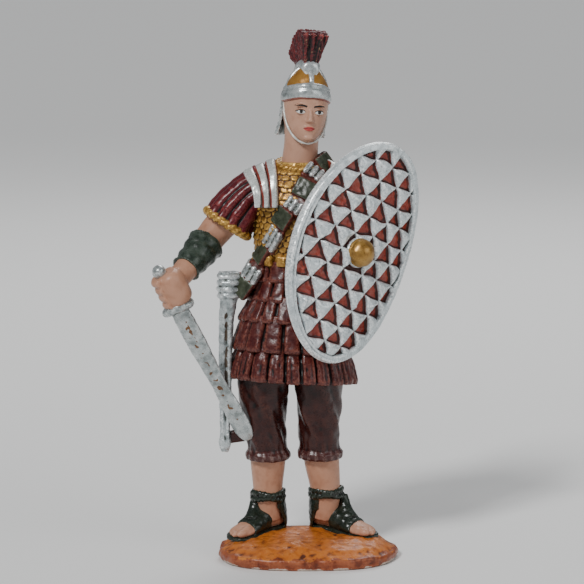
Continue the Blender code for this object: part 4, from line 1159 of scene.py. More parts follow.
# Cuirass
@dataclass
class Cuirass:
    """A body armour of small scales in staggered rows, with a belt of plates and a twisted collar."""

    stations: tuple = ((-3.0, 3.0, 55.0, 6.9, 5.4), (-2.8, 3.0, 58.4, 7.4, 5.5), (-2.5, 3.0, 61.5, 8.3, 6.0),
                       (-2.2, 3.0, 65.0, 8.9, 6.5), (-2.0, 3.1, 68.5, 9.2, 6.8), (-1.9, 3.2, 72.0, 9.8, 6.6),
                       (-1.8, 3.3, 75.5, 9.6, 5.7), (-1.7, 3.4, 78.2, 6.9, 4.7), (-1.6, 3.4, 79.6, 4.4, 4.0))
    first_row: float = 60.4
    last_row: float = 78.0
    row_pitch: float = 1.26
    scales_round: int = 30
    scale_length: float = 2.1
    scale_rise: float = 0.55
    belt: tuple = (57.9, 60.5)
    belt_plates: int = 12
    finish: Finish = Finish("painted_scales", GOLD, (), 0.08)
    belt_finish: Finish = Finish("painted_belt", GOLD, (), 0.08)

    def at_height(self, z: Array) -> Array:
        """Reads the body's sections.

        Args:
            z: heights.

        Returns:
            A row of x, y, half width and half depth for each.
        """
        heights = np.array([row[2] for row in self.stations])
        t = np.interp(z, heights, range(len(heights)))
        return smooth_rows(self.stations, t)[:, [0, 1, 3, 4]]

    def point(self, angle: Array, z: Array, rise: Array = 0.0) -> Array:
        """Points on the body at angles from the left side, rise above its skin."""
        x, y, rx, ry = self.at_height(z).T
        return np.stack([x + (rx + rise) * np.cos(angle), y + (ry + rise) * np.sin(angle), z], 1)

    def scale_relief(self, u: Array, z: Array) -> Array:
        """How far the scales stand out.

        Args:
            u: shares of the way round.
            z: heights.

        Returns:
            A number for each.
        """
        high = np.zeros(len(u))
        row = np.floor((z - self.first_row) / self.row_pitch)
        for above in (0, 1, 2):
            number = row + above
            top = self.first_row + number * self.row_pitch + self.scale_length * 0.55
            across = (u * self.scales_round + 0.5 * (number % 2)) % 1.0 * 2 - 1
            down = (top - z) / self.scale_length
            round_off = 0.40 - 0.26 * step(z, 69.0, 71.0)
            tip = 1 - round_off * np.abs(across) ** 2.4
            inside = step(tip - down, 0.0, 0.10) * (1 - 0.7 * step(np.abs(across), 0.78, 1.0))
            high = np.maximum(high, inside * self.scale_rise * (0.1 + 0.9 * np.clip(down, 0, 1) ** 1.3))
        covered = step(z, self.first_row - 0.6, self.first_row)
        covered = covered * (1 - step(z, self.last_row, self.last_row + 0.5))
        return high * covered

    def build_scales(self) -> None:
        """Makes the scaled body."""
        low, high = self.stations[0][2], self.stations[-1][2]

        def surface(u: Array, w: Array) -> Array:
            """The scaled body's points.

            Args:
                u: shares round.
                w: shares along.

            Returns:
                A row of coordinates for each.
            """
            z = low + (high - low) * w
            shaky = np.stack([u * 30, z * 0.8, z * 0], 1)
            wander = lumps(shaky, 1.3)
            return self.point(TURN * u, z, self.scale_relief(u + 0.006 * wander, z + 0.24 * wander)
                              + 0.10 * wander)

        sculpt = Sculpt()
        sculpt.wrap(surface, 260, 130)
        finish_piece("scale_cuirass", sculpt.plain(), self.finish, fine=3, broad=10)

    def build_belt(self) -> None:
        """Makes the belt of plates under the scales."""
        sculpt = Sculpt()
        for plate in range(self.belt_plates):
            angle = TURN * (plate + 0.5) / self.belt_plates
            low, high = (self.point(np.array([angle]), np.array([z]), 0.45)[0] for z in self.belt)
            right = Vector((-math.sin(angle) * 8.2, math.cos(angle) * 6.2, 0))
            half = (right.length * math.pi / self.belt_plates * 0.86, (self.belt[1] - self.belt[0]) / 2, 0.75)
            sculpt.plate((low + high) / 2, right, high - low, half, 0.86, 0.5)
            sculpt.ball((low * 0.5 + high * 0.5) + np.array([math.cos(angle), math.sin(angle), 0]) * 0.55,
                        (0.55, 0.55, 0.6))
        mesh = sculpt.melted(0.21, 2)
        uneven(mesh, 0.08, 0.9, 2.0)
        finish_piece("belt_plates", mesh, self.belt_finish)

    def build_collar(self) -> None:
        """Makes the twisted cord round the neck opening."""
        ring = []
        for k in range(33):
            angle = TURN * k / 32
            y = 4.75 * math.sin(angle)
            ring.append((-1.6 + 4.75 * math.cos(angle), 3.2 + y, 79.15 + 0.18 * y, 0.62))
        sculpt = Sculpt()
        sculpt.wrap(limb_rings(ring, lambda u, w: 0.12 * np.sin(TURN * (u * 2 + w * 26)), (0, 0, 1)), 20, 260)
        yoke = ((-1.6, 3.2, 77.9, 5.9, 5.2), (-1.6, 3.2, 78.6, 5.5, 5.1), (-1.6, 3.2, 79.2, 4.8, 4.7),
                (-1.6, 3.3, 79.6, 4.0, 4.0))
        sculpt.wrap(level_rings(yoke, (0.0, -0.18)), 90, 14)
        finish_piece("collar", sculpt.melted(0.19, 2), self.belt_finish)

    def build(self) -> None:
        """Makes the scales, the belt and the collar."""
        self.build_scales()
        self.build_belt()
        self.build_collar()


CUIRASS = Cuirass()


# Shoulder guards
@dataclass
class ShoulderGuards:
    """Three bands side by side over each shoulder, bent from the chest to the back."""

    span: tuple = (-13.4, -6.6)
    spring: float = 70.6
    crowns: tuple = (77.0, 79.9)
    middle: float = -1.7
    bands: int = 3
    line: Coat = Coat((0.20, 0.022, 0.012), (0.03, 0.006, 0.004), (0.30, 0.08, 0.05), 0.5, 0.2, 0.2, 0.36)

    def band_rise(self, share: Array) -> Array:
        """How far the bands stand out across a guard."""
        part = np.abs((share * self.bands) % 1.0 * 2 - 1)
        return 0.62 * (1 - part ** 6) - 0.02

    def aside(self, c: Array, mirror: int) -> Array:
        """How far the front end of the left guard gives way to the baldric, c being 1 in front."""
        return 1.7 * step(c, 0.0, 0.45) * (mirror < 0)

    def surface(self, mirror: int) -> Surface:
        """The skin of one guard: across its outer face, then back across its inner face.

        Args:
            mirror: 1 for the right guard, -1 for the left one.

        Returns:
            The surface.
        """
        def place(u: Array, w: Array) -> Array:
            """The guard's points.

            Args:
                u: shares round.
                w: shares along.

            Returns:
                A row of coordinates for each.
            """
            outer = u < 0.75
            share = np.where(outer, u / 0.75, 1 - (u - 0.75) / 0.25)
            rise = np.where(outer, self.band_rise(share), -0.9)
            angle = math.pi * w
            c, s = np.cos(angle), np.sin(angle)
            x = self.span[0] + (self.span[1] - self.span[0]) * share + (2.4 - 1.8 * share) * c * c - 0.35 * rise
            x = x - self.aside(c, mirror)
            crown = self.crowns[0] + (self.crowns[1] - self.crowns[0]) * share
            return np.stack([self.middle + mirror * (x - self.middle), 3.2 - (7.0 + rise) * c,
                             self.spring + (crown - self.spring) * s ** 0.8 + rise * s], 1)

        return place

    def build(self) -> None:
        """Makes both guards, with painted lines between their bands and along their inner edges."""
        # A lighter copy of the silver paint: the extra lightness on the bands is a painted highlight.
        highlit_silver = Coat((0.62, 0.66, 0.63), (0.16, 0.17, 0.14), (0.92, 0.93, 0.90), 0.6, 0.4, 0.2, 0.25, 0.35,
                      (0.07, 0.045, 0.025), 0.3)
        finish = Finish("painted_guards", highlit_silver, (("line", self.line),), 0.04, 0.08)
        sides, rows = 60, 116
        for name, mirror in (("right", 1), ("left", -1)):
            sculpt = Sculpt()
            sculpt.wrap(self.surface(mirror), sides, rows)
            mesh = sculpt.plain()
            points = read_points(mesh)
            c = (3.2 - points[:, 1]) / 7.2
            x = self.middle + (points[:, 0] - self.middle) * mirror + self.aside(c, mirror)
            share = (x - self.span[0] - 2.4 * c * c) / (self.span[1] - self.span[0] - 1.8 * c * c)
            groove = np.minimum(np.abs(share - 1 / 3), np.abs(share - 2 / 3))
            line = step(groove, 0.062, 0.028) + step(share, 0.945, 0.975)
            write_value(mesh, "line", np.clip(line, 0, 1))
            write_points(mesh, points + read_normals(mesh) * column(0.06 * lumps(points, 1.2, 3.0)))
            finish_piece(f"{name}_shoulder_guard", mesh, finish)


# Arms
@dataclass
class Arm:
    """One arm: a pleated sleeve with a twisted hem, the bare arm and a leather bracer."""

    name: str
    sleeve: tuple
    arm: tuple
    bracer: tuple
    folds: int = 9
    fold_depth: float = 1.25
    sleeve_finish: Finish = Finish("painted_sleeve", Coat(
        (0.085, 0.007, 0.012), (0.004, 0.002, 0.002), (0.30, 0.05, 0.045), 1.4, 0.5, 0.12, 0.27), (), 0.05)
    hem_finish: Finish = Finish("painted_hem", GOLD, (), 0.07)
    skin: Finish = Finish("painted_skin", FLESH)
    leather: Finish = Finish("painted_leather", LEATHER, (), 0.08)

    def build_sleeve(self) -> None:
        """Makes the sleeve, its folds narrower towards the shoulder."""
        def pleats(u: Array, w: Array) -> Array:
            """How far the pleats stand out."""
            wave = np.abs(np.cos(math.pi * (self.folds * u + 0.30 * np.sin(TURN * u * 2) + 0.15 * w)))
            return self.fold_depth * (wave ** 0.6 - 0.72) * (0.35 + 0.65 * w)

        sculpt = Sculpt()
        sculpt.wrap(limb_rings(self.sleeve, pleats), 140, 54)
        mesh = sculpt.plain()
        uneven(mesh, 0.08, 1.4, 1.0)
        finish_piece(f"{self.name}_sleeve", mesh, self.sleeve_finish)

    def build_hem(self) -> None:
        """Makes the twisted cord round the sleeve's end."""
        end = np.array(self.sleeve[-1][:3])
        run = unit(end - np.array(self.sleeve[-2][:3]))
        aside = unit(np.cross(run, np.array([0.0, 1.0, 0.0])))
        other = np.cross(run, aside)
        radius = self.sleeve[-1][3] - 0.42
        ring = []
        for k in range(41):
            angle = TURN * k / 40
            spoke = aside * math.cos(angle) + other * math.sin(angle)
            ring.append((*(end + run * 0.15 + spoke * radius), 0.92))
        sculpt = Sculpt()
        sculpt.wrap(limb_rings(ring, lambda u, w: 0.30 * np.abs(np.sin(math.pi * (u * 2 + w * 22))) - 0.20,
                               tuple(run)), 22, 230)
        finish_piece(f"{self.name}_sleeve_hem", sculpt.plain(), self.hem_finish, fine=3, broad=8)

    def build_bracer(self) -> None:
        """Makes the bracer, wound in uneven turns."""
        def turns(u: Array, w: Array) -> Array:
            """How far the bracer's turns and its two rims stand out."""
            wave = 0.12 + 0.12 * np.sin(TURN * (w * 3.2 + 0.35 * np.cos(TURN * u)))
            return wave + 0.25 * step(np.abs(w - 0.5), 0.42, 0.48)

        sculpt = Sculpt()
        sculpt.wrap(limb_rings(self.bracer, turns), 90, 50)
        mesh = sculpt.melted(0.21, 2)
        uneven(mesh, 0.07, 1.3, 2.0)
        finish_piece(f"{self.name}_bracer", mesh, self.leather)

    def build(self) -> None:
        """Makes the sleeve, its hem and the bracer. The bare arm is made with its hand."""
        self.build_sleeve()
        self.build_hem()
        self.build_bracer()


RIGHT_ARM = Arm(
    "right",
    ((-8.6, 3.1, 75.4, 4.2), (-12.0, 3.1, 72.8, 4.5), (-14.8, 2.9, 69.6, 5.15), (-16.7, 2.7, 66.7, 5.4)),
    ((-15.6, 2.7, 68.6, 3.4), (-18.6, 3.2, 65.7, 3.4), (-21.0, 2.6, 62.8, 3.2), (-22.8, -0.3, 60.6, 3.0),
     (-24.7, -3.2, 58.3, 2.6), (-27.6, -7.2, 55.4, 2.4)),
    ((-21.3, 1.9, 62.3, 3.75), (-22.3, 0.4, 61.1, 3.6), (-23.9, -1.9, 59.3, 3.2), (-25.3, -3.8, 57.8, 2.8)))
LEFT_ARM = Arm(
    "left",
    ((5.2, 3.4, 75.6, 4.3), (8.4, 3.7, 73.3, 4.8), (10.6, 4.2, 69.9, 5.2), (11.9, 4.6, 66.9, 5.2)),
    ((10.9, 4.4, 68.6, 3.3), (12.6, 5.2, 65.0, 3.3), (13.4, 5.4, 61.8, 3.2), (12.5, 2.6, 61.0, 3.0),
     (11.2, -0.6, 61.1, 2.6), (10.0, -3.4, 61.3, 2.3)),
    ((13.1, 4.4, 61.4, 3.7), (12.6, 2.9, 61.1, 3.55), (11.6, 0.2, 61.0, 3.1), (10.7, -1.8, 61.2, 2.75)))


# Sword
@dataclass
class Sword:
    """A short leaf-bladed sword, held point down."""

    guard_place: tuple = (-26.9, -7.3, 50.2)
    run: tuple = (0.437, 0.190, -0.879)
    facing: tuple = (-0.25, -0.95, 0.0)
    blade_length: float = 33.4
    blade_width: float = 4.3
    blade_thickness: float = 1.7
    grip_length: float = 7.8
    guard_width: float = 7.6
    guard_thickness: float = 1.9
    pommel_radius: float = 1.5
    outline: tuple = ((0.0, 0.93), (0.25, 1.0), (0.58, 0.78), (0.82, 0.96), (0.94, 0.86), (1.0, 0.4))

    def axes(self) -> tuple:
        """The sword's own axes.

        Returns:
            The ways along it, across it and out of its face.
        """
        along = unit(np.array(self.run))
        across = unit(np.cross(along, np.array(self.facing)))
        return along, across, np.cross(across, along)

    def build(self) -> None:
        """Makes the blade with its worn midline, the guard, the grip and the pommel."""
        guard = np.array(self.guard_place)
        along, across, face = self.axes()

        def blade(u: Array, w: Array) -> Array:
            """The blade's points.

            Args:
                u: shares round.
                w: shares along.

            Returns:
                A row of coordinates for each.
            """
            share, width = swept(self.outline, w)
            angle = TURN * u
            c, s = np.cos(angle), np.sin(angle)
            reach = self.blade_width / 2 * width * c
            thick = self.blade_thickness / 2 * np.minimum(1.0, width + 0.1) * s
            thick = thick * (1 - 0.16 * np.exp(-(c / 0.2) ** 2) * (1 - step(w, 0.75, 0.9)))
            return (guard + column(self.blade_length * share) * along + column(reach) * across
                    + column(thick) * face)

        sculpt = Sculpt()
        sculpt.wrap(blade, 40, 120)

        def bar(u: Array, w: Array) -> Array:
            """The points of the bar between blade and grip.

            Args:
                u: shares round.
                w: shares along.

            Returns:
                A row of coordinates for each.
            """
            swell = 0.72 + 0.28 * np.sin(math.pi * np.clip(w, 0, 1)) ** 0.5
            angle = TURN * u
            drop = self.guard_thickness * ((w - 0.5) + 0.16 * np.cos(2 * angle))
            return (guard + column(drop) * along
                    + column(self.guard_width / 2 * swell * np.cos(angle) * 0.98) * across
                    + column(self.guard_width * 0.34 * swell * np.sin(angle)) * face)

        sculpt.wrap(bar, 60, 14)
        grip = [(*(guard - along * self.grip_length * share), radius)
                for share, radius in ((0.0, 1.2), (0.5, 1.3), (1.0, 1.1))]
        sculpt.wrap(limb_rings(grip, side=tuple(across)), 24, 20)
        sculpt.ball(guard - along * (self.grip_length + self.pommel_radius * 0.5), (self.pommel_radius,) * 3)
        mesh = sculpt.melted(0.19, 2)
        points = uneven(mesh, 0.06, 1.1, 5.0)
        offset = points - guard
        middle = np.abs(offset @ across)
        onward = offset @ along
        marked = step(lumps(points, 0.8, 1.5), 0.15, 0.5) * step(middle, 0.8, 0.15) * step(onward, 1.0, 2.5)
        write_value(mesh, "marked", marked * step(onward, 31, 26))
        rust = Coat((0.13, 0.055, 0.018), (0.05, 0.02, 0.01), (0.25, 0.14, 0.07), 0.5, 0.3, 0.3, 0.5)
        finish_piece("sword", mesh, Finish("painted_sword", SILVER, (("marked", rust),), 0.06, 0.35))


SWORD = Sword()


# Shield
@dataclass
class Shield:
    """A tall oval board with a raised rim, a boss and a lattice over triangular pockets."""

    length: float = 47.6
    width: float = 30.2
    thickness: float = 1.5
    dome: float = 3.2
    rim_width: float = 1.9
    boss_radius: float = 3.05
    yaw: float = math.radians(36)
    lean: float = math.radians(24)
    middle: tuple = (9.05, -7.2, 61.85)
    pocket_pitch: float = 4.75
    row_pitch: float = 3.9
    pocket_side: float = 4.45
    pocket_depth: float = 1.1
    pocket_turn: float = math.radians(4)
    pocket_start: tuple = (2.4, 1.4)
    pad_radius: float = 2.6
    pad_thickness: float = 0.8
    glue_gap: float = 0.3
    red: Coat = Coat((0.27, 0.026, 0.014), (0.05, 0.010, 0.007), (0.46, 0.12, 0.07), 0.7, 0.4, 0.3, 0.28)
    boss_finish: Finish = Finish("painted_boss", Coat(
        (0.30, 0.155, 0.030), (0.045, 0.020, 0.008), (0.60, 0.38, 0.12), 0.8, 0.5, 0.35, 0.3, 0.45))
    back_finish: Finish = Finish("painted_shield_back", BRICK)

    def axes(self) -> tuple:
        """The shield's own axes.

        Returns:
            The ways to its right, up and outwards.
        """
        out = np.array([math.sin(self.yaw), -math.cos(self.yaw), 0])
        level = np.array([math.cos(self.yaw), math.sin(self.yaw), 0])
        rise = np.array([0, 0, 1])
        up = rise * math.cos(self.lean) + level * math.sin(self.lean)
        right = level * math.cos(self.lean) - rise * math.sin(self.lean)
        return right, up, out

    def place(self, x: Array, y: Array, z: Array) -> Array:
        """Points at places on the shield, z out from its rim plane."""
        right, up, out = self.axes()
        return np.array(self.middle) + column(x) * right + column(y) * up + column(z) * out

    def share(self, x: Array, y: Array) -> Array:
        """How far out a place lies, 1 at the shield's edge."""
        return np.hypot(2 * x / self.width, 2 * y / self.length)

    def height(self, x: Array) -> Array:
        """How far the face stands out from the plane of its two long sides."""
        return self.dome * (1 - (2 * x / self.width) ** 2)

    def pocket_inset(self, x: Array, y: Array) -> Array:
        """How far inside the nearest pocket places lie, negative outside all of them.

        Args:
            x: places to the shield's right.
            y: places up the shield.

        Returns:
            A number for each.
        """
        wander = np.stack([x, y, x * 0], 1)
        x = x + 0.30 * lumps(wander, 3.2, 2.0)
        y = y + 0.30 * lumps(wander, 3.2, 7.0)
        c, s = math.cos(self.pocket_turn), math.sin(self.pocket_turn)
        dx, dy = x - self.pocket_start[0], y - self.pocket_start[1]
        px, py = c * dx + s * dy, -s * dx + c * dy
        best = np.full(len(x), -9.0)
        inner = self.pocket_side / (2 * math.sqrt(3))
        row = np.round(py / self.row_pitch)
        for up in (-1, 0, 1):
            r = row + up
            col = np.round(px / self.pocket_pitch - r / 2)
            for side in (-1, 0, 1):
                cx = (col + side + r / 2) * self.pocket_pitch
                size = 1 + 0.10 * np.sin(5.1 * r + 2.7 * (col + side))
                ax, ay = px - cx, py - r * self.row_pitch
                far = np.maximum.reduce([-ay, (ay * 0.5 + ax * 0.866), (ay * 0.5 - ax * 0.866)])
                best = np.maximum(best, inner * size - far)
        return best

    def ridges(self, x: Array, y: Array) -> Array:
        """Thin raised casting lines down the left and the lower right of the board.

        Args:
            x: places to the shield's right.
            y: places up the shield.

        Returns:
            A height for each.
        """
        left = np.abs(x + 8.4 + 0.35 * np.sin(y * 0.35)) + 2.0 * step(y, 2, 4) + 2.0 * step(-y, 19, 21)
        right = np.abs(np.hypot(x, y - 2.0) - 15.4 - 0.2 * y) + 3 * step(y, -6, -3) + 3 * step(-x, -1, 1)
        return 0.32 * (1 - step(left, 0.12, 0.5)) + 0.30 * (1 - step(right, 0.12, 0.45))

    def build_board(self) -> None:
        """Makes the board with its lattice, pockets and rim."""
        half_width, half_length = self.width / 2, self.length / 2
        form = bmesh.new()
        bmesh.ops.create_grid(form, x_segments=150, y_segments=250, size=1.0)
        front = bpy.data.meshes.new("front")
        form.to_mesh(front)
        form.free()
        flat = read_points(front)
        across, along = flat[:, 0], flat[:, 1]
        x = half_width * across * np.sqrt(1 - along ** 2 / 2)
        y = half_length * along * np.sqrt(1 - across ** 2 / 2)
        reach = self.share(x, y)
        edge_gap = (1 - reach) * half_width / np.maximum(np.hypot(x / half_width, y / half_length * 0.57), 0.3)
        inset = np.minimum(self.pocket_inset(x, y), edge_gap - self.rim_width - 0.25)
        inset = np.minimum(inset, np.hypot(x, y) - self.boss_radius - 0.15)
        sunk = step(inset, -0.30, 0.25)
        edging = step(edge_gap, self.rim_width + 0.1, self.rim_width - 0.35)
        crown = 0.36 * step(-inset, 0.1, 1.2) * (1 - edging)
        rim = 0.42 * edging * (1 - 0.75 * step(edge_gap, 0.5, 0.0) ** 2)
        double = 0.16 * np.exp(-((edge_gap - self.rim_width * 0.55) / 0.22) ** 2) * step(-x - y * 0.45, 5, 14)
        wander = np.stack([x, y, x * 0 + 4.0], 1)
        uneven = 0.10 * lumps(wander, 1.9) + 0.04 * lumps(wander, 0.8, 3.0)
        floor = 0.10 * lumps(wander, 0.9, 9.0)
        rise = (crown + rim - double + self.ridges(x, y) * (1 - sunk) * (1 - edging) - self.pocket_depth * sunk
                + uneven * (1 - sunk) + floor * sunk)
        z = self.height(x) + rise
        z = z - 0.55 * step(reach, 0.975, 1.0) ** 2
        write_points(front, self.place(x, y, z))
        sculpt = Sculpt()
        form = bmesh.new()
        form.from_mesh(front)
        value = form.verts.layers.float.new("red")
        for vert, red in zip(form.verts, (0.5 + (inset - 0.02) * 2.2).tolist()):
            vert[value] = red
        loops = [[edge for edge in form.edges if edge.is_boundary]]
        right, up, _ = self.axes()
        for share, drop in ((1.0, 0.5), (0.985, 0.95), (0.9, 1.0), (0.6, 1.0), (0.3, 1.0), (0.06, 1.0)):
            made = bmesh.ops.extrude_edge_only(form, edges=loops[-1])["geom"]
            verts = [item for item in made if isinstance(item, bmesh.types.BMVert)]
            for vert in verts:
                local = np.array(vert.co) - np.array(self.middle)
                px, py = local @ right, local @ up
                size = max(self.share(np.array([px]), np.array([py]))[0], 1e-6)
                px, py = px / size * share, py / size * share
                level = self.height(np.array([px]))[0]
                depth = np.array([level - self.thickness * drop])
                vert.co = self.place(np.array([px]), np.array([py]), depth)[0]
                vert[value] = 0.0 if share > 0.95 else 1.0
            loops.append([item for item in made if isinstance(item, bmesh.types.BMEdge)])
        bmesh.ops.holes_fill(form, edges=loops[-1], sides=0)
        sculpt.add(form)
        mesh = sculpt.plain()
        # A lighter, bluish copy of the silver paint for the lattice and rim: its blue tint is a painted
        # reflection.
        finish = Finish("painted_shield_face", Coat(
            (0.54, 0.60, 0.62), (0.09, 0.10, 0.095), (0.93, 0.95, 0.94), 0.8, 0.6, 0.22, 0.27, 0.25,
            (0.12, 0.07, 0.04), 0.45), (("red", self.red),), 0.06, 0.10)
        finish_piece("shield_board", mesh, finish, Node.SHIELD, fine=3, broad=11)

    def build_boss(self) -> None:
        """Makes the domed boss on its low collar."""
        profile = ((-1.2, 1.02), (0.1, 1.02), (0.35, 0.96), (1.1, 0.95), (1.9, 0.80), (2.6, 0.55), (3.0, 0.27),
                   (3.12, 0.02))

        def boss(u: Array, w: Array) -> Array:
            """The boss's points.

            Args:
                u: shares round.
                w: shares along.

            Returns:
                A row of coordinates for each.
            """
            height, share = swept(profile, w)
            reach = self.boss_radius * share * 0.97
            return self.place(reach * np.cos(TURN * u), reach * np.sin(TURN * u), self.dome + height * 0.98)

        sculpt = Sculpt()
        sculpt.wrap(boss, 80, 44)
        mesh = sculpt.plain()
        uneven(mesh, 0.06, 1.3, 2.0)
        finish_piece("shield_boss", mesh, self.boss_finish, Node.SHIELD)

    def build_pad(self) -> None:
        """Makes the pad at the back that the hand is glued to."""
        def pad(u: Array, w: Array) -> Array:
            """The pad's points.

            Args:
                u: shares round.
                w: shares along.

            Returns:
                A row of coordinates for each.
            """
            reach = self.pad_radius * (1 - 0.1 * np.abs(w * 2 - 1) ** 6)
            return self.place(reach * np.cos(TURN * u), reach * np.sin(TURN * u),
                              self.dome - self.thickness - self.pad_thickness * (1 - 1.4 * w))

        sculpt = Sculpt()
        sculpt.wrap(pad, 60, 10)
        finish_piece("shield_pad", sculpt.plain(), self.back_finish, Node.SHIELD)

    def build(self) -> None:
        """Makes the board, the boss and the pad."""
        self.build_board()
        self.build_boss()
        self.build_pad()


SHIELD = Shield()


# Hands, made together with the bare arms
@dataclass
class Hand:
    """A bare arm and its closed fist round a grip."""

    arm: Arm
    centre: tuple
    grip: tuple
    knuckles: tuple
    size: float = 1.0
    fist_rows: tuple = ((-1.0, 0.62), (-0.7, 0.98), (0.0, 1.06), (0.75, 0.98), (1.0, 0.66))
    finger_turns: tuple = (-35, 20, 75, 135)
    thumb: tuple = ((-0.5, -2.4, 0.6, 1.2), (2.0, -2.0, 1.9, 1.15), (3.4, -0.4, 2.8, 0.9))

    def build(self, pad: Optional[Surface] = None) -> None:
        """Makes the arm with its fist.

        Args:
            pad: the flat pad on the fist, where it has one.
        """
        grip = unit(np.array(self.grip))
        knuckles = np.array(self.knuckles) - grip * (np.array(self.knuckles) @ grip)
        knuckles = unit(knuckles)
        side = np.cross(grip, knuckles)
        centre = np.array(self.centre)

        def palm(u: Array, w: Array) -> Array:
            """The points of the closed palm.

            Args:
                u: shares round.
                w: shares along.

            Returns:
                A row of coordinates for each.
            """
            share, swell = swept(self.fist_rows, w)
            c, s = np.cos(TURN * u), np.sin(TURN * u)
            return centre + self.size * (column(share * 3.7) * grip + column(3.0 * swell * c) * knuckles
                                         + column(3.0 * swell * s) * side)

        sculpt = Sculpt()
        sculpt.wrap(palm, 40, 24)
        for finger in range(4):
            path = []
            for turn in self.finger_turns:
                angle = math.radians(turn)
                spot = (grip * (-2.7 + finger * 1.75) + knuckles * 2.9 * math.cos(angle)
                        + side * 2.85 * math.sin(angle))
                path.append((*(centre + spot * self.size), 0.93 * self.size))
            sculpt.wrap(limb_rings(path, side=tuple(grip)), 18, 20)
        thumb = [(*(centre + (grip * a + knuckles * k + side * s) * self.size), r * self.size)
                 for a, k, s, r in self.thumb]
        sculpt.wrap(limb_rings(thumb, side=tuple(grip)), 18, 14)
        sculpt.wrap(limb_rings(self.arm.arm), 48, 40)
        if pad:
            sculpt.wrap(pad, 32, 4)
        mesh = sculpt.melted(0.23, 3)
        uneven(mesh, 0.07, 1.8, 3.0)
        finish_piece(f"{self.arm.name}_arm_and_hand", mesh, self.arm.skin)


@dataclass
class Hands:
    """The right hand on the sword and the left hand behind the shield."""

    left_back: float = 3.4

    def build(self) -> None:
        """Makes both arms with their hands."""
        along, _, _ = SWORD.axes()
        right = np.array(SWORD.guard_place) - along * 4.6 + np.array([1.2, 0.2, 0.1])
        Hand(RIGHT_ARM, tuple(right), tuple(along), (-0.85, -0.35, 0.1)).build()
        right_way, up, out = SHIELD.axes()
        inner = np.array(SHIELD.middle) + out * (SHIELD.dome - SHIELD.thickness - SHIELD.pad_thickness
                                                 - SHIELD.glue_gap)

        def pad(u: Array, w: Array) -> Array:
            """The points of the flat pad on the left fist."""
            ring = right_way * column(np.cos(TURN * u)) + up * column(np.sin(TURN * u))
            return inner - column(self.left_back * (1 - w)) * out + ring * SHIELD.pad_radius

        Hand(LEFT_ARM, tuple(inner - out * self.left_back), (0.3, 0.2, 1), tuple(out), 0.82).build(pad)


# Scabbard
@dataclass
class Scabbard:
    """A slim scabbard with bound rings at its mouth and a small foot, joined to the leg by a web."""

    stations: tuple = (
        (-16.4, 0.2, 56.6, 2.2, 1.6), (-16.5, 0.1, 51.0, 1.9, 1.5), (-17.0, -0.1, 46.0, 1.6, 1.35),
        (-17.2, -0.2, 38.0, 1.45, 1.2), (-17.3, -0.3, 28.0, 1.25, 1.05), (-17.35, -0.4, 22.5, 1.05, 0.95),
        (-17.4, -0.4, 20.2, 1.35, 1.15), (-17.4, -0.4, 18.1, 0.7, 0.6))
    rings: int = 4
    ring_top: float = 55.7
    ring_pitch: float = 1.36
    # Dark brown for the groove between the rails.
    marked: Coat = Coat((0.060, 0.040, 0.025), (0.02, 0.012, 0.008), (0.2, 0.16, 0.12), 0.5, 0.3, 0.3, 0.5)

    def build(self) -> None:
        """Makes the sheath with its two side rails, the rings and the web."""
        def rails(u: Array, w: Array) -> Array:
            """How far the groove between the rails lies in."""
            front = np.exp(-(((u - 0.76 + 0.5) % 1.0 - 0.5) / 0.055) ** 2)
            return -0.55 * front * step(w, 0.2, 0.28) * (1 - step(w, 0.78, 0.9))

        sculpt = Sculpt()
        sculpt.wrap(level_rings(self.stations, relief=rails), 70, 220)
        for ring in range(self.rings):
            z = self.ring_top - ring * self.ring_pitch
            grow = 0.12 * math.sin(math.pi * (ring + 0.7) / self.rings)
            band = ((-16.4, 0.1, z - 0.66, 1.7, 1.3), (-16.4, 0.1, z - 0.45, 2.35 + grow, 1.8 + grow),
                    (-16.4, 0.1, z, 2.6 + grow, 2.0 + grow),
                    (-16.4, 0.1, z + 0.45, 2.35 + grow, 1.8 + grow), (-16.4, 0.1, z + 0.66, 1.7, 1.3))
            sculpt.wrap(level_rings(band), 60, 14)
        mesh = sculpt.melted(0.2, 1)
        points = uneven(mesh, 0.09, 1.1, 2.0)
        # The groove between the rails is painted dark brown on its front, in patches.
        slot = np.exp(-((points[:, 0] + 17.05) / 0.4) ** 2) * (points[:, 1] < -0.8) * step(points[:, 2], 24, 28)
        slot = slot * (1 - step(points[:, 2], 47, 50))
        write_value(mesh, "marked", slot * step(lumps(points, 1.3, 4.0), -0.6, 0.1))
        silver = Coat((0.38, 0.43, 0.44), (0.06, 0.07, 0.06), (0.90, 0.93, 0.93), 1.1, 0.7, 0.4, 0.28, 0.4,
                      (0.08, 0.05, 0.03), 0.5)
        finish_piece("scabbard", mesh, Finish("painted_scabbard", silver, (("marked", self.marked),), 0.07))
        web = Sculpt()
        web.plate((-14.3, 0.6, 21.4), (1, 0, 0.15), (0, 0, 1), (3.4, 1.5, 0.7), 0.8, 0.6)
        finish_piece("scabbard_web", web.melted(0.24, 2), Finish("painted_web", DARK_MAROON))


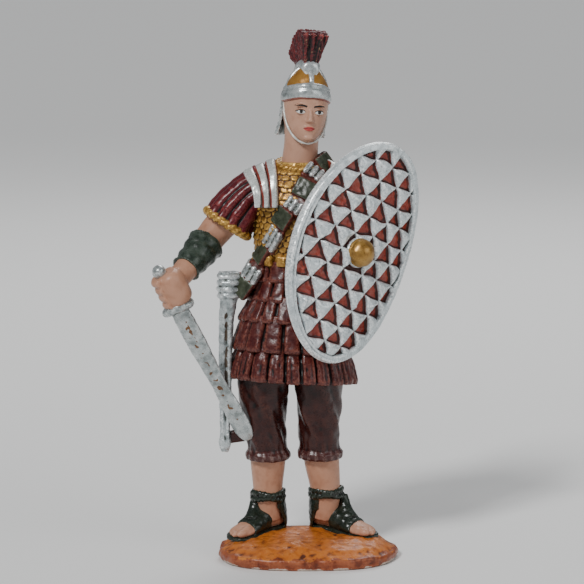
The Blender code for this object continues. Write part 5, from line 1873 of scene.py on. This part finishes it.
# Baldric
@dataclass
class Baldric:
    """A broad strap of square leather plates by turns with three silver bars, over the left shoulder."""

    chest: tuple = ((3.4, 78.9), (1.3, 77.6), (-0.6, 74.2), (-2.7, 70.8), (-4.9, 68.2), (-7.0, 63.8),
                    (-9.2, 60.3))
    hip: tuple = (((-11.5, -0.9, 56.2), (-0.55, -1.0, 0.25)), ((-13.4, -0.5, 53.4), (-0.5, -1.0, 0.3)))
    strap: tuple = ((-7.0, 1.6, 61.5, 2.0), (-9.6, 1.0, 58.6, 2.1), (-12.0, 0.6, 55.6, 2.0),
                    (-15.2, 0.6, 52.2, 1.7))
    width: float = 4.4
    rise: float = 0.85
    square_half: float = 2.25
    bars: int = 3
    trim: Coat = Coat((0.065, 0.012, 0.008), (0.01, 0.003, 0.002), (0.24, 0.06, 0.04), 0.9, 0.4, 0.2, 0.34)

    def spot(self, x: float, z: float, sign: int) -> tuple:
        """Finds a place on the body.

        Args:
            x: how far to the left.
            z: its height.
            sign: -1 on the front, 1 on the back.

        Returns:
            The place and the way it faces.
        """
        cx, cy, rx, ry = CUIRASS.at_height(np.array([min(z, 79.0)]))[0]
        share = max(-0.97, min(0.97, (x - cx) / rx))
        depth = ry * math.sqrt(1 - share * share)
        facing = unit(np.array([share / rx, sign * depth / ry / ry, 0.12]))
        return np.array([x, cy + sign * depth, z]), facing

    def plates(self, sign: int) -> list:
        """Places the plates from the shoulder down.

        Args:
            sign: -1 in front, 1 behind.

        Returns:
            Place and facing of each plate.
        """
        found = [self.spot(x, z, sign) for x, z in self.chest]
        for place, facing in self.hip:
            turned = np.array([1, -sign, 1])
            found.append((np.array(place) * turned + np.array([0, 1.6 if sign > 0 else 0, 0]),
                          unit(np.array(facing) * turned)))
        return found

    def build(self) -> None:
        """Makes the leather plates, the bars and the strap under them."""
        squares, bars, strap = Sculpt(), Sculpt(), Sculpt()
        strap.wrap(limb_rings(self.strap, side=(0, 1, 0), flatness=0.9), 40, 30)
        centres = []
        for sign in (-1, 1):
            plates = self.plates(sign)
            last = len(plates) - 1
            for i, (spot, facing) in enumerate(plates):
                run = plates[min(i + 1, last)][0] - plates[max(i - 1, 0)][0]
                length = np.linalg.norm(run) / (2 if 0 < i < last else 1)
                side = unit(np.cross(run, facing))
                strap.plate(spot - facing * 0.2, run, side, (length * 0.6, self.width * 0.48, 0.62), 0.94, 0.4)
                if i % 2 == 0:
                    squares.plate(spot + facing * 0.35, run, side,
                                  (self.square_half, self.width * 0.53, self.rise), 0.92, 0.6)
                    centres.append((spot, unit(run), side, self.square_half, self.width * 0.53))
                    continue
                half = (length - self.square_half + 0.1, self.width / self.bars * 0.43, self.rise)
                for k in range(self.bars):
                    shift = (k - (self.bars - 1) / 2) * self.width / self.bars
                    bars.plate(spot + side * shift + facing * 0.3, run, side, half, 0.88, 0.6)
        mesh = squares.melted(0.22, 2)
        points = uneven(mesh, 0.07, 0.9, 6.0)
        reach = np.full(len(points), 9.0)
        for spot, along, side, half_long, half_wide in centres:
            off = points - spot
            inside = np.maximum.reduce([np.abs(off @ along) / half_long, np.abs(off @ side) / half_wide,
                                        np.abs(off @ np.cross(along, side)) / 2.5])
            reach = np.minimum(reach, inside)
        write_value(mesh, "trim", step(reach, 0.82, 0.92))
        leather = Coat((0.030, 0.038, 0.022), (0.006, 0.007, 0.004), (0.13, 0.15, 0.10), 0.8, 0.4, 0.3, 0.3)
        finish_piece("baldric_plates", mesh, Finish("painted_plates", leather, (("trim", self.trim),)))
        mesh = bars.melted(0.19, 1)
        uneven(mesh, 0.04, 0.8, 6.0)
        finish_piece("baldric_bars", mesh, Finish("painted_bars", SILVER))
        finish_piece("baldric_strap", strap.melted(0.34, 2), Finish("painted_baldric", self.trim))


# Head
@dataclass
class HeadPose:
    """How the head is set on the neck. The head is made facing straight ahead about its own axis."""

    x: float = -0.85
    y: float = 2.6
    pivot: float = 85.0
    turn: float = math.radians(12)
    lean: float = math.radians(4.5)

    def matrix(self) -> Matrix:
        """The head's rotation."""
        return Matrix.Rotation(self.lean, 3, "Y") @ Matrix.Rotation(self.turn, 3, "Z")

    def place(self, points: Array) -> Array:
        """Points of the head's own frame, brought to their place."""
        local = points - np.array([0, 0, self.pivot])
        return local @ np.array(self.matrix()).T + np.array([self.x, self.y, self.pivot])

    def local(self, points: Array) -> Array:
        """Points brought back into the head's own frame."""
        back = (points - np.array([self.x, self.y, self.pivot])) @ np.array(self.matrix())
        return back + np.array([0, 0, self.pivot])

    def rings(self, stations: Sequence) -> Surface:
        """A skin round the head.

        Args:
            stations: rows of height, half width, reach to the front and reach to the back.

        Returns:
            The surface.
        """
        def surface(u: Array, w: Array) -> Array:
            """The skin's points.

            Args:
                u: shares round.
                w: shares along.

            Returns:
                A row of coordinates for each.
            """
            z, half, front, back = swept(stations, w)
            s = np.sin(TURN * u)
            return self.place(np.stack([half * np.cos(TURN * u), s * np.where(s > 0, back, front), z], 1))

        return surface


POSE = HeadPose()


@dataclass
class Head:
    """The neck and a calm, plain face on even proportions, with painted brows, eyes and lips."""

    neck: tuple = (
        (-1.6, 3.6, 76.5, 4.1), (-1.5, 3.4, 80.0, 3.75), (-1.2, 2.9, 83.5, 3.6), (-1.0, 2.9, 88.0, 3.7))
    skull: tuple = (
        (83.9, 1.3, 4.3, 0.5), (84.5, 2.5, 5.1, 1.8), (86.0, 3.7, 5.45, 3.2), (88.2, 4.35, 5.3, 4.3),
        (90.5, 4.65, 5.2, 5.0), (92.6, 4.75, 5.35, 5.4), (95.0, 4.6, 5.0, 5.4), (97.0, 3.4, 3.6, 4.0))
    eye_height: float = 90.4
    eye_side: float = 1.95
    eye_half: tuple = (0.92, 0.42)
    brow_height: float = 91.75
    mouth_height: float = 87.0
    mouth_half: float = 1.25

    def forms(self) -> Sculpt:
        """Gathers the overlapping forms of the head.

        Returns:
            The forms.
        """
        sculpt = Sculpt()

        def ball(place: tuple, radii: tuple, lean: float = 0.0) -> None:
            """Adds one ellipsoid in the head's own frame."""
            turn = POSE.matrix() @ Matrix.Rotation(lean, 3, "X")
            sculpt.ball(POSE.place(np.array([place]))[0], radii, turn, 24)

        sculpt.wrap(limb_rings(self.neck), 48, 30)
        sculpt.wrap(POSE.rings(self.skull), 70, 60)
        ball((0, -5.25, 89.7), (0.55, 0.80, 1.55), math.radians(-16))
        ball((0, -5.75, 88.75), (0.62, 0.62, 0.50))
        for side in (-1, 1):
            ball((side * 0.50, -5.42, 88.6), (0.42, 0.46, 0.36))
            ball((side * self.eye_side, -4.80, self.eye_height), (1.0, 0.52, 0.62))
            ball((side * 1.9, -4.85, 91.75), (1.35, 0.55, 0.34))
        ball((0, -5.28, self.mouth_height + 0.27), (1.15, 0.50, 0.30))
        ball((0, -5.24, self.mouth_height - 0.30), (0.95, 0.52, 0.34))
        ball((0, -4.95, 85.0), (1.15, 0.75, 0.72))
        return sculpt

    def paint(self, mesh: bpy.types.Mesh) -> None:
        """Stores where the painted parts of the face are.

        Args:
            mesh: the head's mesh.
        """
        own = POSE.local(read_points(mesh))
        x, y, z = own.T
        front = step(-y, 2.5, 3.5)
        side = np.abs(x) - self.eye_side
        level = z - self.eye_height
        half, tall = self.eye_half
        lid = tall * (1 - np.clip((side / half) ** 2, 0, 1)) ** 0.6
        inside = np.where(np.abs(side) < half, 1.0, 0.0)
        white = step(lid - np.abs(level), -0.06, 0.06) * inside
        lash = np.exp(-((level - lid) / 0.13) ** 2) * (np.abs(side) < half + 0.12) * (level > -0.05)
        iris = step(0.36 - np.hypot(side, level - 0.03), -0.05, 0.05) * white
        brow_line = self.brow_height - 0.20 * (side / 1.2) ** 2 + 0.05 * side
        brow = step(0.20 - np.abs(z - brow_line) - 0.10 * np.clip(side, 0, 2), -0.08, 0.06)
        brow = brow * (np.abs(side) < 1.25)
        share = np.clip(np.abs(x) / self.mouth_half, 0, 1)
        upper = 0.44 * (1 - share ** 2) - 0.07 * np.exp(-(x / 0.25) ** 2)
        lower = -0.50 * (1 - share ** 2) ** 0.8
        level = z - self.mouth_height
        lips = step(np.minimum(upper - level, level - lower), -0.08, 0.06) * (np.abs(x) < self.mouth_half)
        parting = np.exp(-(level / 0.09) ** 2) * (np.abs(x) < self.mouth_half * 0.95)
        for name, value in (("white", white), ("dark", np.maximum.reduce([lash, iris, brow])), ("lips", lips),
                            ("parting", parting * 0.8)):
            write_value(mesh, name, value * front)

    def build(self) -> None:
        """Makes the head and neck."""
        mesh = self.forms().melted(0.14, 7)
        self.paint(mesh)
        line = Coat((0.012, 0.008, 0.007), (0.006, 0.004, 0.003), (0.03, 0.02, 0.015), 0.3, 0.0, 0.1, 0.35)
        over = (("white", Coat((0.72, 0.70, 0.66), (0.5, 0.45, 0.42), (0.8, 0.8, 0.78), 0.1, 0.0, 0.1, 0.3)),
                ("lips", Coat((0.42, 0.040, 0.035), (0.2, 0.02, 0.02), (0.6, 0.15, 0.13), 0.3, 0.3, 0.2, 0.3)),
                ("parting", Coat((0.14, 0.015, 0.015), (0.08, 0.01, 0.01), (0.2, 0.03, 0.03), 0.3, 0.0, 0.1)),
                ("dark", line))
        face = Coat((0.50, 0.275, 0.185), (0.26, 0.095, 0.055), (0.62, 0.38, 0.28), 0.4, 0.25, 0.15, 0.4)
        finish_piece("head_and_neck", mesh, Finish("painted_face", face, over, 0.03, 0.04))


# Helmet
@dataclass
class Helmet:
    """A domed helmet with a broad brow band, four ribs, a neck guard and a chin strap."""

    band: tuple = ((91.9, 4.75, 5.25, 5.6), (92.05, 5.10, 5.60, 5.95), (92.6, 5.30, 5.80, 6.15),
                   (93.3, 5.28, 5.78, 6.12), (93.9, 5.12, 5.62, 5.95), (94.15, 4.9, 5.4, 5.7),
                   (94.45, 4.95, 5.4, 5.7), (94.9, 4.85, 5.3, 5.6), (95.3, 4.4, 4.9, 5.2))
    dome: tuple = ((93.0, 4.6, 5.2, 5.6), (94.9, 4.55, 5.0, 5.4), (96.9, 3.8, 4.2, 4.7), (98.4, 2.7, 3.1, 3.7),
                   (99.4, 1.6, 2.0, 2.5))
    brow_rise: float = 1.2
    rib_radius: float = 0.6
    rib_sunk: float = 0.34
    guard: tuple = ((93.5, 4.6, 5.5), (90.3, 4.5, 5.5), (87.2, 4.8, 6.0), (84.5, 5.3, 7.0))
    guard_arc: float = math.radians(24)
    guard_thickness: float = 0.8
    strap_radius: float = 0.22
    strap_top: float = 92.4
    strap_drop: float = 8.6

    def build_metal(self) -> None:
        """Makes the silver parts: band, ribs, neck guard and chin strap."""
        sculpt = Sculpt()

        def band(u: Array, w: Array) -> Array:
            """The band's points, higher over the brow.

            Args:
                u: shares round.
                w: shares along.

            Returns:
                A row of coordinates for each.
            """
            z, half, front, back = swept(self.band, w)
            s = np.sin(TURN * u)
            rise = self.brow_rise * np.maximum(0.0, -s) ** 1.5
            return POSE.place(np.stack([half * np.cos(TURN * u), s * np.where(s > 0, back, front), z + rise], 1))

        sculpt.wrap(band, 110, 26)
        for turn in (-90, 0, 90, 180):
            c, s = round(math.cos(math.radians(turn))), round(math.sin(math.radians(turn)))
            rib = [(*POSE.place(np.array([[c * (half - self.rib_sunk),
                                           s * ((back if s > 0 else front) - self.rib_sunk), z]]))[0],
                    self.rib_radius) for z, half, front, back in self.dome[1:]]
            sculpt.wrap(limb_rings(rib), 20, 24)

        def guard(u: Array, w: Array) -> Array:
            """The points of the neck guard's outer and inner face.

            Args:
                u: shares round.
                w: shares along.

            Returns:
                A row of coordinates for each.
            """
            outer = u < 0.5
            deep = np.where(outer, u * 2, 2 - u * 2) * (len(self.guard) - 1)
            z, side, back = smooth_rows(self.guard, deep).T
            thick = self.guard_thickness / 2 * np.where(outer, 1, -1) * (1 - 0.4 * step(deep, 2.7, 3.0))
            angle = self.guard_arc + (math.pi - 2 * self.guard_arc) * w
            stretch = math.cos(self.guard_arc)
            return POSE.place(np.stack([(side / stretch + thick) * np.cos(angle), (back + thick) * np.sin(angle),
                                        z], 1))

        sculpt.wrap(guard, 60, 60)
        mesh = sculpt.melted(0.19, 2)
        uneven(mesh, 0.05, 1.3, 3.0)
        own = POSE.local(read_points(mesh))
        brim = self.band[0][0] + self.brow_rise * np.clip(-own[:, 1] / 5.2, 0, 1) ** 1.5
        write_value(mesh, "brim", step(brim + 0.32 - own[:, 2], -0.1, 0.1) * (own[:, 1] < 1.0))
        edge = Coat((0.26, 0.075, 0.055), (0.1, 0.03, 0.02), (0.4, 0.2, 0.15), 0.4, 0.2, 0.2)
        finish_piece("helmet_metal", mesh, Finish("painted_helmet", SILVER, (("brim", edge),), 0.05))

    def build_strap(self) -> None:
        """Makes the thin chin strap."""
        strap = []
        for k in range(25):
            angle = math.pi * k / 24
            spot = np.array([[4.68 * math.cos(angle), -4.45 * math.sin(angle) + 0.1,
                              self.strap_top - self.strap_drop * math.sin(angle) ** 0.75]])
            strap.append((*POSE.place(spot)[0], self.strap_radius))
        sculpt = Sculpt()
        sculpt.wrap(limb_rings(strap, lambda u, w: 0.03 * np.sin(TURN * w * 9)), 16, 150)
        white = Coat((0.62, 0.62, 0.58), (0.30, 0.27, 0.22), (0.9, 0.9, 0.87), 0.4, 0.4, 0.2, 0.3, 0.2)
        finish_piece("chin_strap", sculpt.plain(), Finish("painted_chin_strap", white))

    def build(self) -> None:
        """Makes the dome, then the silver parts."""
        sculpt = Sculpt()
        sculpt.wrap(POSE.rings(self.dome), 110, 40)
        mesh = sculpt.plain()
        uneven(mesh, 0.07, 1.6, 3.0)
        finish_piece("helmet_dome", mesh, Finish("painted_dome", DOME_GOLD))
        self.build_metal()
        self.build_strap()


# Crest
@dataclass
class Crest:
    """A stiff brush on a holder along the helmet's crown, spreading upwards."""

    holder: tuple = ((-3.2, 98.6, 1.3), (-2.5, 99.4, 1.95), (0.4, 99.8, 2.35), (3.2, 98.5, 2.45),
                     (5.0, 95.8, 2.0))
    holder_rise: float = 1.5
    foot_height: float = 100.0
    head_height: float = 106.3
    half_widths: tuple = (1.3, 1.75, 2.8)
    locks: int = 34
    hair: Coat = Coat((0.060, 0.008, 0.012), (0.005, 0.002, 0.002), (0.22, 0.03, 0.028), 1.0, 0.45, 0.3, 0.45)
    fleck: Coat = Coat((0.26, 0.15, 0.07), (0.1, 0.05, 0.03), (0.4, 0.28, 0.16), 0.3, 0.3, 0.3)
    # Near-black painted shade for the gaps between the locks.
    gap: Coat = Coat((0.008, 0.004, 0.004), (0.004, 0.003, 0.003), (0.03, 0.01, 0.01), 0.3, 0.1, 0.1)
    tip: Coat = Coat((0.17, 0.020, 0.018), (0.05, 0.01, 0.01), (0.4, 0.07, 0.05), 0.4, 0.35, 0.4)

    def ends(self, t: Array) -> tuple:
        """The foot and the head of the brush.

        Args:
            t: shares of the way from its front to its back.

        Returns:
            Rows of y and z of the foot, and of the head.
        """
        foot = np.stack([-2.3 + 7.5 * t, self.foot_height + 0.8 * np.sin(math.pi * np.minimum(1, t * 1.2))
                         - 2.8 * np.maximum(0, t - 0.5)], 1)
        top = np.stack([-4.6 + 14.4 * t, self.head_height + 0.9 * np.sin(math.pi * np.minimum(1, 1.6 * t))
                        - 5.0 * t ** 3], 1)
        return foot, top

    def surface(self, u: Array, w: Array) -> Array:
        """The brush's skin: up one side, over the top and down the other.

        Args:
            u: shares round.
            w: shares along.

        Returns:
            A row of coordinates for each.
        """
        up = 1 - np.abs(u * 2 - 1)
        rise = np.clip(up / 0.62, 0, 1)
        inward = np.clip((up - 0.62) / 0.38, 0, 1)
        foot, top = self.ends(w)
        half = np.interp(rise, (0, 0.18, 1), self.half_widths) - 0.9 * np.maximum(0.0, w - 0.6)
        spot = foot + (top - foot) * column(rise)
        return POSE.place(np.stack([half * (1 - inward) * np.where(u < 0.5, 1, -1), spot[:, 0], spot[:, 1]], 1))

    def build(self) -> None:
        """Makes the holder and the brush, with its locks, the near-black painted shade in its gaps and its
        flecks.
        """
        def holder(u: Array, w: Array) -> Array:
            """The holder's points.

            Args:
                u: shares round.
                w: shares along.

            Returns:
                A row of coordinates for each.
            """
            y, z, half = swept(self.holder, w)
            c, s = np.cos(TURN * u), np.sin(TURN * u)
            return POSE.place(np.stack([half * c, y, z + self.holder_rise * s], 1))

        sculpt = Sculpt()
        sculpt.wrap(holder, 60, 50)
        mesh = sculpt.melted(0.2, 4)
        uneven(mesh, 0.04, 1.5, 3.0)
        finish_piece("crest_holder", mesh, Finish("painted_holder", SILVER))
        sculpt = Sculpt()
        sculpt.wrap(self.surface, 150, 150)
        mesh = sculpt.melted(0.19, 2)
        points = read_points(mesh)
        own = POSE.local(points)
        rise = np.clip((own[:, 2] - self.foot_height) / (self.head_height - self.foot_height), 0, 1)
        front = step(own[:, 1] + 2.3 + 2.3 * rise, 0.9, 0.2)
        fan = own[:, 0] / (1.75 + 1.05 * rise)
        along = (own[:, 1] + 2.3 + 2.3 * rise) / (7.5 + 6.9 * rise)
        lock = np.where(front > 0.5, np.cos(TURN * (fan * 1.75 + 0.25)), np.cos(TURN * along * self.locks / 4))
        fine = np.stack([own[:, 0] * 2.2, along * 22 + own[:, 0] * 0.6, rise * 2.4], 1)
        strand = lumps(fine, 1.0, 2.0)
        free = step(own[:, 2], self.foot_height - 0.3, self.foot_height + 0.8)
        rough = 0.20 * lock + 0.20 * strand + 0.08 * lumps(points, 0.5, 4.0)
        write_points(mesh, points + read_normals(mesh) * column(free * rough))
        # Painted shade: near-black stripes between the locks on the brush's front, fading out near its top.
        gap_shade = step(-np.cos(TURN * (fan * 1.5 + 0.02 * strand)), 0.45, 0.8) * front
        write_value(mesh, "gap", gap_shade * step(rise, 0.95, 0.8))
        fleck = 0.5 * (lumps(points, 0.42, 9.0) > 0.58) * (0.3 + 0.7 * front) * step(rise, 0.97, 0.85)
        write_value(mesh, "fleck", fleck + 0.1)
        write_value(mesh, "tip", step(own[:, 2] - self.head_height, -0.5, 0.3) * front)
        over = (("fleck", self.fleck), ("gap", self.gap), ("tip", self.tip))
        finish_piece("crest_brush", mesh, Finish("painted_crest", self.hair, over, 0.1, 0.25))


# Stage
@dataclass
class Stage:
    """A pale floor, soft lamps and the camera."""

    floor_half: float = 14.0
    floor_colour: tuple = (0.82, 0.82, 0.81, 1)
    floor_roughness: float = 0.8
    camera_place: tuple = (-3.16, -520.0, 130.0)
    camera_dip: float = 8.0
    lens: float = 153.8
    key_place: tuple = (-0.34, -0.56, 0.62)
    key_strength: float = 2.3
    key_softness: float = math.radians(11)
    lamps: tuple = (((0.5, -0.35, 0.30), 0.4, 1.1), ((0.1, 0.5, 0.6), 0.4, 2.2))
    aim: tuple = (0, 0, 0.055)
    sky_colour: tuple = (0.92, 0.95, 1.0, 1)
    sky_strength: float = 0.2

    def build_floor(self) -> None:
        """Makes the floor."""
        form = bmesh.new()
        bmesh.ops.create_grid(form, x_segments=4, y_segments=4, size=self.floor_half)
        mesh = bpy.data.meshes.new("floor")
        form.to_mesh(mesh)
        form.free()
        made = bpy.data.materials.new("pale_floor")
        made.use_nodes = True
        shader = made.node_tree.nodes["Principled BSDF"]
        shader.inputs["Base Color"].default_value = self.floor_colour
        shader.inputs["Roughness"].default_value = self.floor_roughness
        mesh.materials.append(made)
        floor = bpy.data.objects.new("floor", mesh)
        bpy.context.scene.collection.objects.link(floor)

    def build_light(self) -> None:
        """Sets the key light, the lamps and a dim even world."""
        key = bpy.data.lights.new("key", "SUN")
        key.energy = self.key_strength
        key.angle = self.key_softness
        lights = [(self.key_place, key)]
        for place, size, power in self.lamps:
            data = bpy.data.lights.new("lamp", "AREA")
            data.size = size
            data.energy = power
            lights.append((place, data))
        aim = Vector(self.aim)
        for place, data in lights:
            lamp = bpy.data.objects.new(data.name, data)
            lamp.location = place
            lamp.rotation_euler = (aim - Vector(place)).to_track_quat("-Z", "Y").to_euler()
            bpy.context.scene.collection.objects.link(lamp)
        world = bpy.data.worlds.new("studio")
        world.use_nodes = True
        back = world.node_tree.nodes["Background"]
        back.inputs["Color"].default_value = self.sky_colour
        back.inputs["Strength"].default_value = self.sky_strength
        bpy.context.scene.world = world

    def build_camera(self) -> None:
        """Sets the camera where the photograph was taken from."""
        data = bpy.data.cameras.new("camera")
        data.lens = self.lens
        data.sensor_width = 36
        data.clip_start = 0.01
        camera = bpy.data.objects.new("camera", data)
        camera.location = Vector(self.camera_place) * METRES
        camera.rotation_euler = (math.radians(90 - self.camera_dip), 0, 0)
        bpy.context.scene.collection.objects.link(camera)
        bpy.context.scene.camera = camera

    def build(self) -> None:
        """Makes the floor, the lamps and the camera."""
        self.build_floor()
        self.build_light()
        self.build_camera()


def main() -> None:
    """Builds every part of the figurine in order."""
    logging.basicConfig(level=logging.INFO, format="%(message)s", stream=sys.stdout)
    for part in (Stage(), GroundBase(), RIGHT_FOOT, LEFT_FOOT, Trousers(), StrapSkirt(), CUIRASS,
                 ShoulderGuards(), RIGHT_ARM, LEFT_ARM, Hands(), SWORD, Scabbard(), Baldric(), Head(), Helmet(),
                 Crest(), SHIELD):
        part.build()
        log.info("built %s", type(part).__name__)


if __name__ == "__main__":
    main()
